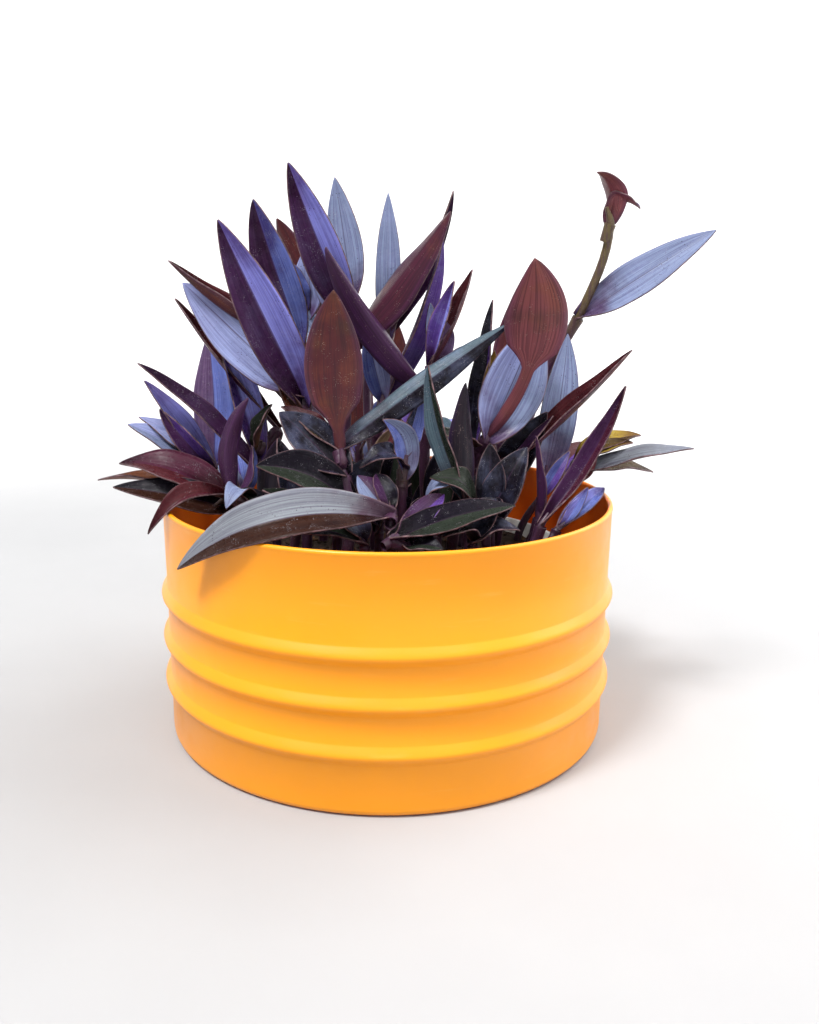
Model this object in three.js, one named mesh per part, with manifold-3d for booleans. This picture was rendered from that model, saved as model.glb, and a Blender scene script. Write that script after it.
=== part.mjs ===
// A potted purple heart (tradescantia): fleshy stems with folded, lance-shaped leaves,
// rooted in a plain plastic grow pot that stands inside a ribbed, powder-coated metal pot.
// Millimetres, +Z up. The origin is the centre of the metal pot's underside.
import * as THREE from 'three';
import { mergeVertices } from 'three/addons/utils/BufferGeometryUtils.js';
import Module from 'manifold-3d';

const wasm = await Module();
wasm.setup();

// ---------------------------------------------------------------- driving dimensions
const GAP = 0.35; // clearance between neighbours that touch

const POT = {
  radius: 118.2, // plain wall
  baseRadius: 115.6, // where the rounded bottom edge meets the floor
  height: 124.5,
  sheet: 1.5, // wall and floor thickness
  edgeRound: 4.0, // height of the rounded bottom edge
  bead: 1.3, // radius of the rolled rim
  ribHeights: [30.6, 53.9, 77.4], // middle of each rib
  ribProud: 3.0,
  ribHalfWidth: 5.0,
  ribCrest: 0.2, // rounding of a rib's crest, as a share of its half width
  sides: 40,
};

const GROW_POT = {
  topRadius: 96,
  floorRadius: 80,
  height: 94,
  wall: 1.3,
  lipProud: 2.2,
  lipDrop: 5,
  drains: 6,
  drainRadius: 5,
  drainCircle: 52,
  sides: 36,
};

const SOIL = {
  top: 88,
  sides: 36,
  rings: [0.25, 0.5, 0.75],
  ripple: 1.6,
  stemDepth: 17, // how far a stem stands in its hole
  holeEase: 1.8, // the hole is this much wider than the stem all round
  holeSides: 6,
};

const STEM_SIDES = 5;
const BLADE_THICKNESS = 0.9;
const SHEATH_FOLD = 72; // degrees, how far a leaf's base closes round its stem
const SHEATH_END = 0.3; // share of the leaf's length over which it opens
const NECK_WIDTH = 0.2; // of the widest
const LANCE_START = 0.12; // how far along its outline a blade starts
const STATIONS = [0.14, 0.42, 0.72]; // sections along a blade, as shares of its length
const SMALL_STATIONS = [0.25, 0.62];
const NECK_STATIONS = [0.2, 0.54, 0.7, 0.88];
const SMALL_LEAF = 47;

// ---------------------------------------------------------------- small helpers
const radians = THREE.MathUtils.degToRad;

// Every place read from the front view is given as it appears in the upright plane through
// the pot's axis, with its depth behind that plane. The point lies on the line of sight.
const EYE = new THREE.Vector3(0, -502, 234);

function seen(x, z, depth) {
  const reach = (depth - EYE.y) / -EYE.y;
  return new THREE.Vector3(EYE.x + (x - EYE.x) * reach, depth, EYE.z + (z - EYE.z) * reach);
}

function toSolid(geometry) {
  const bare = geometry.clone();
  bare.deleteAttribute('normal');
  bare.deleteAttribute('uv');
  const merged = mergeVertices(bare, 1e-4);
  return new wasm.Manifold(
    new wasm.Mesh({
      numProp: 3,
      vertProperties: new Float32Array(merged.attributes.position.array),
      triVerts: new Uint32Array(merged.index.array),
    }),
  );
}

// The largest body of a solid: loose scraps and sealed hollows left by fusing are dropped.
function mainBody(solid) {
  return solid.decompose().reduce((best, piece) => (piece.volume() > best.volume() ? piece : best));
}

function toGeometry(solid) {
  const mesh = solid.getMesh();
  const geometry = new THREE.BufferGeometry();
  geometry.setAttribute('position', new THREE.BufferAttribute(mesh.vertProperties, 3));
  geometry.setIndex(new THREE.BufferAttribute(mesh.triVerts, 1));
  geometry.computeVertexNormals();
  return geometry;
}

function lathe(profile, sides) {
  const points = profile.map(([radius, height]) => new THREE.Vector2(radius, height));
  const geometry = new THREE.LatheGeometry(points, sides);
  geometry.rotateX(Math.PI / 2);
  return geometry;
}

// ---------------------------------------------------------------- metal pot
// Radius of the pressed sheet at a height. A rib has straight flanks and a rounded crest.
function sheetRadius(height) {
  const rib = POT.ribHeights.find((middle) => Math.abs(height - middle) < POT.ribHalfWidth);
  if (rib === undefined) return POT.radius;
  const across = (height - rib) / POT.ribHalfWidth;
  const foot = Math.hypot(1, POT.ribCrest);
  const proud = (foot - Math.hypot(across, POT.ribCrest)) / (foot - POT.ribCrest);
  return POT.radius + POT.ribProud * proud;
}

function wallHeights(shares) {
  return POT.ribHeights.flatMap((middle) => shares.map((share) => middle + share * POT.ribHalfWidth));
}

function metalPot() {
  const beadTop = POT.height;
  const beadMiddle = POT.height - POT.bead;
  const outer = wallHeights([-1, -0.3, 0, 0.3, 1]).map((height) => [sheetRadius(height), height]);
  const inner = wallHeights([-1, 0, 1]).map((height) => [sheetRadius(height) - POT.sheet, height]);
  const profile = [
    [0, 0],
    [POT.baseRadius - 1, 0],
    [POT.baseRadius + 1, 1],
    [POT.radius, POT.edgeRound],
    ...outer,
    [POT.radius, beadMiddle - POT.bead],
    [POT.radius + 0.5 * POT.bead, beadMiddle],
    [POT.radius - 0.4 * POT.bead, beadTop],
    [POT.radius - 1.6 * POT.bead, beadMiddle],
    [POT.radius - POT.sheet, beadMiddle - POT.bead],
    ...inner.reverse(),
    [POT.radius - POT.sheet, POT.edgeRound + POT.sheet],
    [POT.baseRadius - 1, POT.sheet],
    [0, POT.sheet],
  ];
  return toGeometry(toSolid(lathe(profile, POT.sides)));
}

// ---------------------------------------------------------------- grow pot
const growFloor = POT.sheet + GAP;
const growTop = growFloor + GROW_POT.height;

function growWallRadius(height) {
  const share = (height - growFloor) / GROW_POT.height;
  return THREE.MathUtils.lerp(GROW_POT.floorRadius, GROW_POT.topRadius, share);
}

function drainHole(index) {
  const turn = (index / GROW_POT.drains) * 2 * Math.PI;
  const hole = new THREE.CylinderGeometry(GROW_POT.drainRadius, GROW_POT.drainRadius, 10, 12);
  hole.rotateX(Math.PI / 2);
  hole.translate(GROW_POT.drainCircle * Math.cos(turn), GROW_POT.drainCircle * Math.sin(turn), growFloor);
  return toSolid(hole);
}

function growPot() {
  const lipFoot = growTop - GROW_POT.lipDrop;
  const profile = [
    [0, growFloor],
    [GROW_POT.floorRadius, growFloor],
    [growWallRadius(lipFoot), lipFoot],
    [growWallRadius(lipFoot) + GROW_POT.lipProud, lipFoot + 0.6],
    [GROW_POT.topRadius + GROW_POT.lipProud, growTop - 1],
    [GROW_POT.topRadius + GROW_POT.lipProud - 1, growTop],
    [GROW_POT.topRadius - GROW_POT.wall, growTop],
    [GROW_POT.floorRadius - GROW_POT.wall, growFloor + GROW_POT.wall],
    [0, growFloor + GROW_POT.wall],
  ];
  let pot = toSolid(lathe(profile, GROW_POT.sides));
  for (let index = 0; index < GROW_POT.drains; index += 1) pot = pot.subtract(drainHole(index));
  return toGeometry(pot);
}

// ---------------------------------------------------------------- potting mix
function soilHeight(x, y) {
  return SOIL.top + SOIL.ripple * Math.sin(x * 0.11 + 1.3) * Math.cos(y * 0.09 - 0.4);
}

function soilPlug(stems) {
  const bottom = growFloor + GROW_POT.wall + GAP;
  const innerRadius = (height) => growWallRadius(height) - GROW_POT.wall - GAP;
  const profile = [
    [0, bottom],
    [innerRadius(bottom), bottom],
    [innerRadius(SOIL.top), SOIL.top],
    ...[...SOIL.rings].reverse().map((share) => [share * innerRadius(SOIL.top), SOIL.top]),
    [0, SOIL.top],
  ];
  const geometry = lathe(profile, SOIL.sides);
  const position = geometry.attributes.position;
  for (let index = 0; index < position.count; index += 1) {
    const x = position.getX(index);
    const y = position.getY(index);
    const onTop = position.getZ(index) > SOIL.top - 0.01;
    const inside = Math.hypot(x, y) < innerRadius(SOIL.top) - 1;
    if (onTop && inside) position.setZ(index, soilHeight(x, y));
  }
  let soil = toSolid(geometry);
  for (const { root, radius } of stems) {
    const holeRadius = radius + SOIL.holeEase;
    const depth = SOIL.stemDepth + GAP;
    const hole = new THREE.CylinderGeometry(holeRadius, holeRadius, depth + 10, SOIL.holeSides);
    hole.rotateX(Math.PI / 2);
    hole.translate(root[0], root[1], SOIL.top - depth + (depth + 10) / 2);
    soil = soil.subtract(toSolid(hole));
  }
  return toGeometry(mainBody(soil));
}

// ---------------------------------------------------------------- leaves and stems
// Half of a leaf's width along it, as a share of the widest half: lance-shaped. A neck is the
// share of the length that stays narrow, like a stalk.
function outline(along, neck) {
  if (along < neck) return NECK_WIDTH;
  const lance = (along - neck) / (1 - neck);
  return Math.sin(Math.PI * (LANCE_START + (1 - LANCE_START) * lance));
}

function foldAt(along, fold) {
  const closing = Math.max(0, 1 - along / SHEATH_END);
  return radians(fold + (SHEATH_FOLD - fold) * closing * closing);
}

function stationsOf(length, neck) {
  if (neck > 0) return NECK_STATIONS;
  return length < SMALL_LEAF ? SMALL_STATIONS : STATIONS;
}

// One folded blade as a closed solid, pointed at its tip and at its root inside the stem. The
// midrib runs from base to tip and bows by `arch` towards the upper face and by `sway` to its
// side. The upper face looks towards `azimuth` (0 is the front, 90 the right) and `elevation`.
function blade(leaf, root) {
  const { base, tip, width, arch, sway, azimuth, elevation, fold, neck } = leaf;
  const chord = tip.clone().sub(base);
  const along = chord.clone().normalize();
  const facing = new THREE.Vector3(
    Math.sin(radians(azimuth)) * Math.cos(radians(elevation)),
    -Math.cos(radians(azimuth)) * Math.cos(radians(elevation)),
    Math.sin(radians(elevation)),
  );
  const up = facing.clone().addScaledVector(along, -facing.dot(along)).normalize();
  const side = along.clone().cross(up);
  const bend = up.clone().multiplyScalar(arch).addScaledVector(side, sway);
  const stations = stationsOf(chord.length(), neck);
  const corners = [root.toArray()];
  for (const share of stations) {
    const middle = base.clone().addScaledVector(chord, share);
    middle.addScaledVector(bend, 4 * share * (1 - share));
    const heading = chord.clone().addScaledVector(bend, 4 * (1 - 2 * share)).normalize();
    const top = up.clone().addScaledVector(heading, -up.dot(heading)).normalize();
    const across = heading.clone().cross(top);
    const half = (width / 2) * outline(share, neck);
    const angle = foldAt(share, fold);
    const at = (sideways, upwards) =>
      middle.clone().addScaledVector(across, sideways).addScaledVector(top, upwards).toArray();
    const reach = half * Math.cos(angle);
    const rise = half * Math.sin(angle);
    const outwards = BLADE_THICKNESS * Math.sin(angle);
    const downwards = BLADE_THICKNESS * Math.cos(angle);
    const keel = BLADE_THICKNESS * Math.min(1.8, 1 / Math.cos(angle));
    corners.push(at(-reach, rise), at(0, 0), at(reach, rise));
    corners.push(at(reach + outwards, rise - downwards), at(0, -keel));
    corners.push(at(-reach - outwards, rise - downwards));
  }
  corners.push(tip.toArray());
  return bladeGeometry(corners, stations.length);
}

// Joins the six corners of each section to the next, split alike on both faces.
function bladeGeometry(corners, sections) {
  const index = [];
  const point = (section, corner) => 1 + section * 6 + (corner % 6);
  const end = corners.length - 1;
  for (let corner = 0; corner < 6; corner += 1) {
    index.push(0, point(0, corner + 1), point(0, corner));
    index.push(end, point(sections - 1, corner), point(sections - 1, corner + 1));
    for (let section = 0; section < sections - 1; section += 1) {
      const near = [point(section, corner), point(section, corner + 1)];
      const far = [point(section + 1, corner), point(section + 1, corner + 1)];
      const crossed = corner === 1 || corner === 4;
      if (crossed) index.push(near[0], near[1], far[0], near[1], far[1], far[0]);
      else index.push(near[0], far[1], far[0], near[0], near[1], far[1]);
    }
  }
  const geometry = new THREE.BufferGeometry();
  geometry.setAttribute('position', new THREE.Float32BufferAttribute(corners.flat(), 3));
  geometry.setIndex(index);
  return geometry;
}

// The stem's line: upright in its hole, then through the base of each leaf in turn.
function stemLine(root, leaves) {
  const [x, y] = root;
  const foot = [-SOIL.stemDepth, -6, 2].map((rise) => new THREE.Vector3(x, y, SOIL.top + rise));
  const line = [...foot];
  for (const { base } of leaves) {
    if (base.distanceTo(line[line.length - 1]) > 7) line.push(base.clone());
  }
  const topLeaf = leaves[leaves.length - 1];
  const heading = topLeaf.tip.clone().sub(topLeaf.base).normalize();
  line.push(topLeaf.base.clone().addScaledVector(heading, 8));
  return new THREE.CatmullRomCurve3(line, false, 'centripetal');
}

function stemTube(line, radius, steps) {
  const section = new THREE.Shape();
  for (let corner = 0; corner < STEM_SIDES; corner += 1) {
    const turn = (corner / STEM_SIDES) * 2 * Math.PI;
    const x = radius * Math.cos(turn);
    const y = radius * Math.sin(turn);
    if (corner === 0) section.moveTo(x, y);
    else section.lineTo(x, y);
  }
  return new THREE.ExtrudeGeometry(section, { steps, bevelEnabled: false, extrudePath: line });
}

// The place on the stem's middle line that is nearest to a leaf's base.
function nearestOnStem(points, base) {
  const places = points.slice(1).map((point, index) =>
    new THREE.Line3(points[index], point).closestPointToPoint(base, true, new THREE.Vector3()),
  );
  return places.reduce((best, place) => (place.distanceTo(base) < best.distanceTo(base) ? place : best));
}

function leafyStem({ root, radius, leaves }) {
  const line = stemLine(root, leaves);
  const steps = line.points.length;
  const points = line.getSpacedPoints(steps);
  let solid = toSolid(stemTube(line, radius, steps));
  for (const leaf of leaves) {
    solid = solid.add(toSolid(blade(leaf, nearestOnStem(points, leaf.base))));
  }
  return toGeometry(mainBody(solid));
}

// ---------------------------------------------------------------- the stems of the front view
// Each stem: name, root x and y on the soil, radius, then its leaves from the soil upwards.
// Each leaf: base x, z, depth; tip x, z, depth (both as seen); width, arch, sway;
// upper face's azimuth and elevation; fold of each half; neck, where it has one.
const FRONT_STEMS = [
  ['stem_tall_left', [-26, 8], 3.0, [
    [-21, 203, 2, 31, 270, -22, 26, 3, 3, 150, -35, 25],
    [-20, 217, 2, -51, 293, -14, 25, 5, 0, 40, 15, 38],
    [-19, 223, 6, -28, 286, 14, 19, -2, 0, -15, 15, 15],
    [-26, 219, 3, -37, 257, 2, 17, 2, 0, -30, 20, 30],
  ]],
  ['stem_back_left', [-38, 34], 2.8, [
    [-27, 189, 30, -63, 230, 26, 22, 3, 0, 10, 60, 20],
    [-40, 215, 34, -57, 266, 40, 22, 4, 0, 160, -10, 25],
    [-42, 216, 32, -39, 258, 30, 17, 2, 0, -10, 15, 15],
    [-44, 220, 32, -51, 245, 28, 11, 2, 0, 20, 20, 35],
  ]],
  ['stem_left_lean', [-44, -8], 3.2, [
    [-44, 164, -8, -82, 203, 14, 16, -2, 3, 20, 60, 35],
    [-45, 175, -4, -105, 234, 2, 28, -4, 0, 5, 60, 12],
    [-43, 172, -6, -87, 265, -22, 29, 5, 0, 30, 15, 32],
    [-47, 189, 6, -111, 245, -6, 17, -6, 0, 0, 75, 60],
    [-45, 203, 8, -69, 275, 6, 26, 4, 0, 25, 10, 32],
  ]],
  ['stem_left_upright', [-62, 12], 2.8, [
    [-68, 131, 6, -131, 193, -4, 15, 4, 0, -20, 65, 40],
    [-70, 139, 6, -90, 210, 22, 22, 4, 0, 35, 15, 42],
    [-71, 145, 10, -108, 226, 18, 14, -4, 0, 0, 70, 60],
    [-70, 146, 4, -62, 172, -6, 14, 2, 0, -60, 20, 40],
  ]],
  ['stem_left_spray', [-74, 18], 2.4, [
    [-94, 134, 14, -128, 184, 6, 15, 3, 0, 20, 40, 35],
    [-94, 135, 22, -94, 208, 46, 24, 3, 3, -10, 5, 12],
    [-94, 136, 10, -132, 165, 8, 15, 4, 0, 0, 60, 15],
    [-94, 136, 10, -121, 169, 4, 15, 7, 0, -20, 35, 50],
    [-95, 136, 10, -138, 161, 0, 19, 2, 0, -10, 60, 20],
  ]],
  ['stem_left_low', [-72, -14], 2.6, [
    [-85, 117, -14, -156, 131, 8, 15, 6, 0, 0, 80, 30],
    [-87, 119, -16, -144, 140, -6, 25, 8, 0, -10, 65, 20],
    [-86, 116, -18, -148, 127, -16, 20, 9, 0, 180, 55, 30],
    [-87, 120, -22, -131, 101, -50, 16, 15, 0, 10, 60, 35],
  ]],
  ['stem_curl_left', [-62, -24], 2.4, [
    [-82, 120, -22, -74, 175, -24, 17, 0, -10, 160, 10, 35],
    [-83, 120, -24, -73, 150, -14, 12, 2, 0, 90, 10, 50],
    [-75, 118, -26, -88, 115, -44, 14, 9, 0, 0, 80, 15],
    [-65, 116, -22, -58, 154, -14, 18, 3, 3, 160, 10, 20],
  ]],
  ['stem_front_oval', [-22, -52], 3.4, [
    [-21, 118, -46, -71, 139, -62, 24, 5, 3, 10, 50, 22],
    [-24, 133, -42, -58, 168, -34, 26, 2, 0, 20, 40, 20],
    [-27, 147, -38, -57, 171, -22, 14, 2, 0, 20, 50, 35],
    [-27, 149, -38, 64, 216, -20, 17, 4, 0, 10, 70, 50],
    [-27, 148, -40, -29, 221, -46, 28, 5, 3, 180, -5, 14],
  ]],
  ['stem_front_grey', [2, -58], 3.0, [
    [1, 110, -76, -116, 81, -84, 23, 27, 0, 13, 40, 18],
    [1, 114, -62, -7, 135, -48, 12, 2, 0, 20, 10, 30],
    [-1, 114, -60, -17, 134, -46, 13, 1, 0, 10, 20, 15],
  ]],
  ['stem_front_dark', [20, -72], 2.8, [
    [9, 94, -84, 30, 93, -92, 12, 2, 0, 0, 70, 15],
    [1, 97, -86, 69, 118, -62, 19, 4, 0, 0, 65, 12],
    [6, 98, -84, 30, 124, -58, 13, 3, 0, 0, 40, 20],
  ]],
  ['stem_centre_curl', [8, -34], 2.8, [
    [7, 132, -36, -3, 164, -44, 15, -2, 8, 20, 20, 20],
    [8, 137, -34, -16, 138, -46, 15, 10, 0, -10, 60, 15],
    [8, 145, -32, 17, 178, -26, 12, 0, 0, 30, 15, 35],
  ]],
  ['stem_centre_back', [-8, 22], 3.0, [
    [-6, 164, 12, 4, 176, 10, 14, 2, 0, 0, 20, 15],
    [-3, 175, 8, -12, 211, -6, 14, 2, 0, -10, 15, 15],
    [-2, 179, 10, 27, 257, 2, 22, 3, 0, 60, 10, 30],
    [-1, 203, 22, -1, 279, 30, 14, 2, 0, 0, 10, 15],
    [-1, 211, 24, 32, 280, 6, 15, 3, 0, 60, -10, 35],
  ]],
  ['stem_centre_cross', [22, -4], 3.2, [
    [19, 158, -14, 5, 173, -4, 13, 2, 0, 0, 30, 20],
    [21, 179, -14, -33, 252, -34, 20, 4, 0, 190, -35, 55],
    [22, 192, -9, 42, 242, -2, 15, -3, 0, -60, 40, 45],
    [22, 194, -11, 33, 236, -16, 14, 0, 0, -30, 20, 50],
    [23, 194, -10, 28, 217, -4, 11, 0, 3, 0, 10, 15],
  ]],
  ['stem_centre_green', [40, -44], 2.8, [
    [43, 115, -44, 22, 133, -54, 17, 10, 0, 0, 60, 15],
    [43, 120, -46, 40, 184, -28, 15, 3, 0, 200, 0, 30],
    [42, 122, -48, 20, 193, -44, 17, 2, -3, -45, 20, 28],
  ]],
  ['stem_right_broad', [34, 0], 3.4, [
    [44, 139, -6, 53, 227, 18, 17, 0, 2, -40, 10, 45],
    [48, 148, -8, 21, 153, -30, 14, 6, 0, 0, 70, 15],
    [52, 154, -12, 77, 216, -4, 34, 3, 0, 10, 15, 22],
    [52, 154, -16, 74, 248, -40, 32, 3, -12, 180, -5, 14, 0.42],
  ]],
  ['stem_right_tall', [62, 26], 3.0, [
    [82, 188, 20, 88, 227, 30, 12, 2, 0, 0, 10, 20],
    [98, 218, 10, 167, 263, -10, 20, 3, 3, 0, 50, 20],
    [112, 266, 0, 104, 291, -8, 15, 7, 0, 130, 20, 30],
    [112, 268, 0, 127, 273, -6, 14, 9, 0, 100, 60, 25],
  ]],
  ['stem_right_dark', [56, 2], 3.0, [
    [56, 125, 0, 84, 169, -8, 20, 2, 0, 0, 30, 20],
    [57, 125, -6, 87, 167, -16, 9, 0, 0, 0, 60, 40],
    [60, 137, -4, 127, 202, -24, 18, -4, 0, -30, 60, 45],
  ]],
  ['stem_right_fork', [71, -24], 2.8, [
    [82, 110, -28, 79, 156, -34, 10, 0, 0, 90, 10, 45],
    [83, 122, -24, 97, 148, -20, 9, 2, 0, 0, 40, 40],
    [84, 132, -10, 93, 210, 8, 20, -2, 2, 0, 10, 12],
  ]],
  ['stem_right_front', [69, -44], 2.8, [
    [83, 106, -44, 125, 183, -28, 19, -7, 0, -40, 20, 42],
  ]],
  ['stem_right_low', [78, 14], 2.6, [
    [99, 133, 6, 164, 150, -14, 17, 3, 0, 0, 70, 25],
    [100, 135, 8, 143, 137, 26, 14, 4, 0, 0, 75, 20],
    [101, 142, 10, 131, 153, 4, 13, 3, 0, 0, 60, 25],
    [101, 144, 14, 135, 156, 22, 13, 3, 0, 0, 75, 30],
  ]],
  ['stem_right_rim', [78, -32], 2.4, [
    [92, 104, -30, 108, 128, -14, 9, 0, 0, 0, 20, 40],
    [94, 106, -30, 117, 128, -2, 12, 2, 0, 0, 40, 40],
  ]],
];

// The low shoots between them, given in the same way: a dark thicket just above the soil.
const LOW_STEMS = [
  ['stem_low_left', [-50, -36], 2.4, [
    [-50, 103, -38, -68, 126, -50, 15, 6, 0, 0, 60, 25],
    [-50, 105, -36, -32, 133, -26, 17, 5, 0, 0, 55, 25],
    [-52, 110, -38, -59, 154, -30, 14, 3, 0, 20, 30, 35],
  ]],
  ['stem_low_mid_left', [-28, -22], 2.4, [
    [-28, 103, -24, -46, 128, -12, 16, 5, 0, 0, 60, 25],
    [-27, 108, -24, -3, 147, -22, 20, 5, 0, 10, 50, 20],
    [-28, 114, -22, -40, 158, -16, 20, 3, 0, 10, 30, 25],
  ]],
  ['stem_low_centre', [-6, -2], 2.4, [
    [-5, 103, -4, 12, 130, -14, 16, 5, 0, 0, 60, 25],
    [-6, 108, -2, -20, 142, 4, 18, 4, 0, 0, 40, 25],
    [-5, 112, -2, 4, 154, 2, 18, 3, 0, 20, 25, 25],
  ]],
  ['stem_low_mid_right', [26, -26], 2.4, [
    [26, 101, -28, 12, 118, -50, 15, 6, 0, 0, 60, 25],
    [27, 106, -26, 48, 134, -22, 18, 5, 0, 0, 50, 25],
    [27, 112, -26, 30, 152, -24, 18, 3, 0, -20, 30, 25],
  ]],
  ['stem_low_right', [52, -26], 2.4, [
    [53, 101, -28, 62, 118, -52, 16, 6, 0, 0, 60, 25],
    [54, 106, -26, 74, 150, -22, 22, 5, 0, -10, 45, 25],
    [53, 112, -26, 54, 152, -20, 17, 3, 0, 10, 30, 25],
  ]],
  ['stem_low_back', [14, 24], 2.4, [
    [14, 104, 24, -6, 128, 38, 17, 6, 0, 180, 60, 25],
    [15, 108, 24, 36, 140, 22, 18, 5, 0, 0, 50, 25],
    [14, 112, 24, 8, 152, 30, 20, 3, 0, 0, 30, 25],
  ]],
  ['stem_low_back_right', [42, 26], 2.4, [
    [42, 104, 28, 34, 126, 46, 17, 6, 0, 180, 60, 25],
    [43, 108, 26, 66, 136, 14, 17, 5, 0, 0, 60, 25],
    [42, 112, 26, 50, 152, 30, 20, 3, 0, 0, 30, 25],
  ]],
  ['stem_low_front_left', [-14, -76], 2.4, [
    [-13, 94, -78, -60, 99, -76, 15, 7, 0, 0, 70, 25],
    [-13, 98, -78, -30, 116, -66, 15, 5, 0, 0, 60, 25],
  ]],
  ['stem_low_front_right', [46, -66], 2.4, [
    [46, 95, -68, 72, 104, -70, 15, 5, 0, 0, 70, 25],
    [46, 97, -68, 30, 100, -84, 15, 5, 0, 0, 70, 25],
    [46, 99, -66, 58, 122, -56, 15, 5, 0, 0, 50, 25],
  ]],
];

// The stems behind them, given in the same way. The front ones hide most of them from there.
const REAR_STEMS = [
  ['stem_rear_left_high', [-50, 52], 3.0, [
    [-44, 140, 60, -46, 147, 128, 20, 15, 0, 0, 80, 25],
    [-46, 158, 56, -92, 218, 88, 22, 8, 0, 160, 60, 25],
    [-42, 152, 60, -34, 200, 92, 22, 6, 0, 180, 45, 25],
    [-48, 168, 55, -78, 237, 64, 24, 5, 0, 150, 20, 28],
    [-44, 172, 58, -60, 242, 84, 22, 6, 0, 170, 30, 25],
  ]],
  ['stem_rear_mid_left', [-18, 68], 2.8, [
    [-16, 134, 72, -12, 146, 134, 18, 14, 0, 0, 80, 25],
    [-16, 146, 72, -8, 172, 112, 18, 7, 0, 180, 60, 25],
    [-16, 150, 72, -16, 200, 84, 20, 4, 0, 180, 30, 25],
  ]],
  ['stem_rear_centre', [2, 52], 3.0, [
    [5, 142, 58, 14, 147, 126, 19, 15, 0, 0, 80, 25],
    [2, 150, 58, 10, 170, 108, 20, 8, 0, 180, 60, 25],
    [0, 158, 56, 4, 215, 72, 21, 4, 0, 170, 20, 25],
  ]],
  ['stem_rear_mid_right', [30, 64], 2.8, [
    [29, 136, 68, 36, 146, 134, 18, 14, 0, 0, 80, 25],
    [31, 138, 68, 58, 148, 122, 19, 13, 0, 0, 80, 25],
    [30, 144, 68, 42, 164, 112, 20, 8, 0, 180, 60, 25],
    [29, 148, 68, 22, 166, 100, 17, 5, 0, 180, 50, 25],
  ]],
  ['stem_rear_right_high', [58, 44], 3.0, [
    [61, 144, 52, 78, 152, 110, 21, 12, 0, 180, 65, 25],
    [60, 152, 52, 50, 198, 84, 20, 5, 0, 180, 40, 25],
    [62, 164, 52, 84, 224, 78, 23, 6, 0, 200, 30, 25],
    [60, 168, 52, 70, 238, 66, 22, 4, 0, 180, 15, 25],
  ]],
  ['stem_rear_left_low', [-68, 42], 2.6, [
    [-78, 124, 46, -84, 142, 100, 17, 12, 0, 0, 80, 25],
    [-80, 124, 44, -112, 138, 66, 18, 10, 0, 0, 80, 25],
  ]],
  ['stem_rear_right_low', [76, 38], 2.6, [
    [84, 124, 42, 96, 146, 98, 17, 12, 0, 0, 80, 25],
    [86, 126, 40, 112, 150, 74, 18, 9, 0, 0, 80, 25],
  ]],
];

function readLeaf([bx, bz, bd, tx, tz, td, width, arch, sway, azimuth, elevation, fold, neck = 0]) {
  const base = seen(bx, bz, bd);
  const tip = seen(tx, tz, td);
  return { base, tip, width, arch, sway, azimuth, elevation, fold, neck };
}

const stems = [...FRONT_STEMS, ...LOW_STEMS, ...REAR_STEMS].map(([name, root, radius, rows]) => ({
  name,
  root,
  radius,
  leaves: rows.map(readLeaf),
}));

// ---------------------------------------------------------------- assembly
const powderCoat = { color: 0xf5a623, roughness: 0.42, metalness: 0.1 };
const whitePlastic = { color: 0xe8e6e0, roughness: 0.5, metalness: 0 };
const pottingMix = { color: 0x4a3226, roughness: 0.95, metalness: 0 };
const purpleLeaf = { color: 0x6f5c8f, roughness: 0.6, metalness: 0 };

function piece(name, geometry, look) {
  const mesh = new THREE.Mesh(geometry, new THREE.MeshStandardMaterial({ ...look }));
  mesh.name = name;
  return mesh;
}

const plant = new THREE.Group();
for (const stem of stems) plant.add(piece(stem.name, leafyStem(stem), purpleLeaf));

const pottedPlant = new THREE.Group();
pottedPlant.add(piece('metal_pot', metalPot(), powderCoat));
pottedPlant.add(piece('grow_pot', growPot(), whitePlastic));
pottedPlant.add(piece('potting_mix', soilPlug(stems), pottingMix));
pottedPlant.add(plant);

export default pottedPlant;
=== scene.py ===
"""A potted purple heart (tradescantia): fleshy stems with folded, lance-shaped leaves,
rooted in a plain plastic grow pot that stands inside a ribbed, powder-coated metal pot.
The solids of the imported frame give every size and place, and these pieces dress them."""

import math
import random

import bmesh
import bpy
from mathutils import Euler, Matrix, Vector


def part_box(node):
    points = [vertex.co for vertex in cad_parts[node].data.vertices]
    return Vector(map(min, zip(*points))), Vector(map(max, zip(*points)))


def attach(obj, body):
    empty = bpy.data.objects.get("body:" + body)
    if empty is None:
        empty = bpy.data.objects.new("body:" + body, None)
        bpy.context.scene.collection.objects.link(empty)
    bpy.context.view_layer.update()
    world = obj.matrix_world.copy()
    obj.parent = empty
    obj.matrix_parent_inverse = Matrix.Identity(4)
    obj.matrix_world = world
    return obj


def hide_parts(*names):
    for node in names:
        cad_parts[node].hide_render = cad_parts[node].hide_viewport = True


bl_info = {
    "name": "Potted Purple Heart",
    "version": (1, 0, 0),
    "blender": (4, 5, 0),
    "location": "3D View > Sidebar > Purple Heart",
    "description": "Builds a potted purple heart over its solids, with a studio round it",
    "category": "Object",
}

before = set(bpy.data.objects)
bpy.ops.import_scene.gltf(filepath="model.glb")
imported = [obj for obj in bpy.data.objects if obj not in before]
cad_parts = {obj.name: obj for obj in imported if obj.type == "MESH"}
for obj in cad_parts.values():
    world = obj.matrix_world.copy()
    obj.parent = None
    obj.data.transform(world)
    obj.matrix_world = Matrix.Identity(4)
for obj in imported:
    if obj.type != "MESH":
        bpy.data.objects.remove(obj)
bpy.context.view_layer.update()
MM = 0.001
_, POT_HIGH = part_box("metal_pot")
GROW_LOW, GROW_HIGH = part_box("grow_pot")
MIX_LOW, MIX_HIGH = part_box("potting_mix")

# ---------------------------------------------------------------- the plant, as it was read
# Every place read from the front view is given in millimetres as it appears in the upright
# plane through the pot's axis, with its depth behind that plane, on the line from this eye.
EYE = Vector((0, -502, 234))

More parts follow.
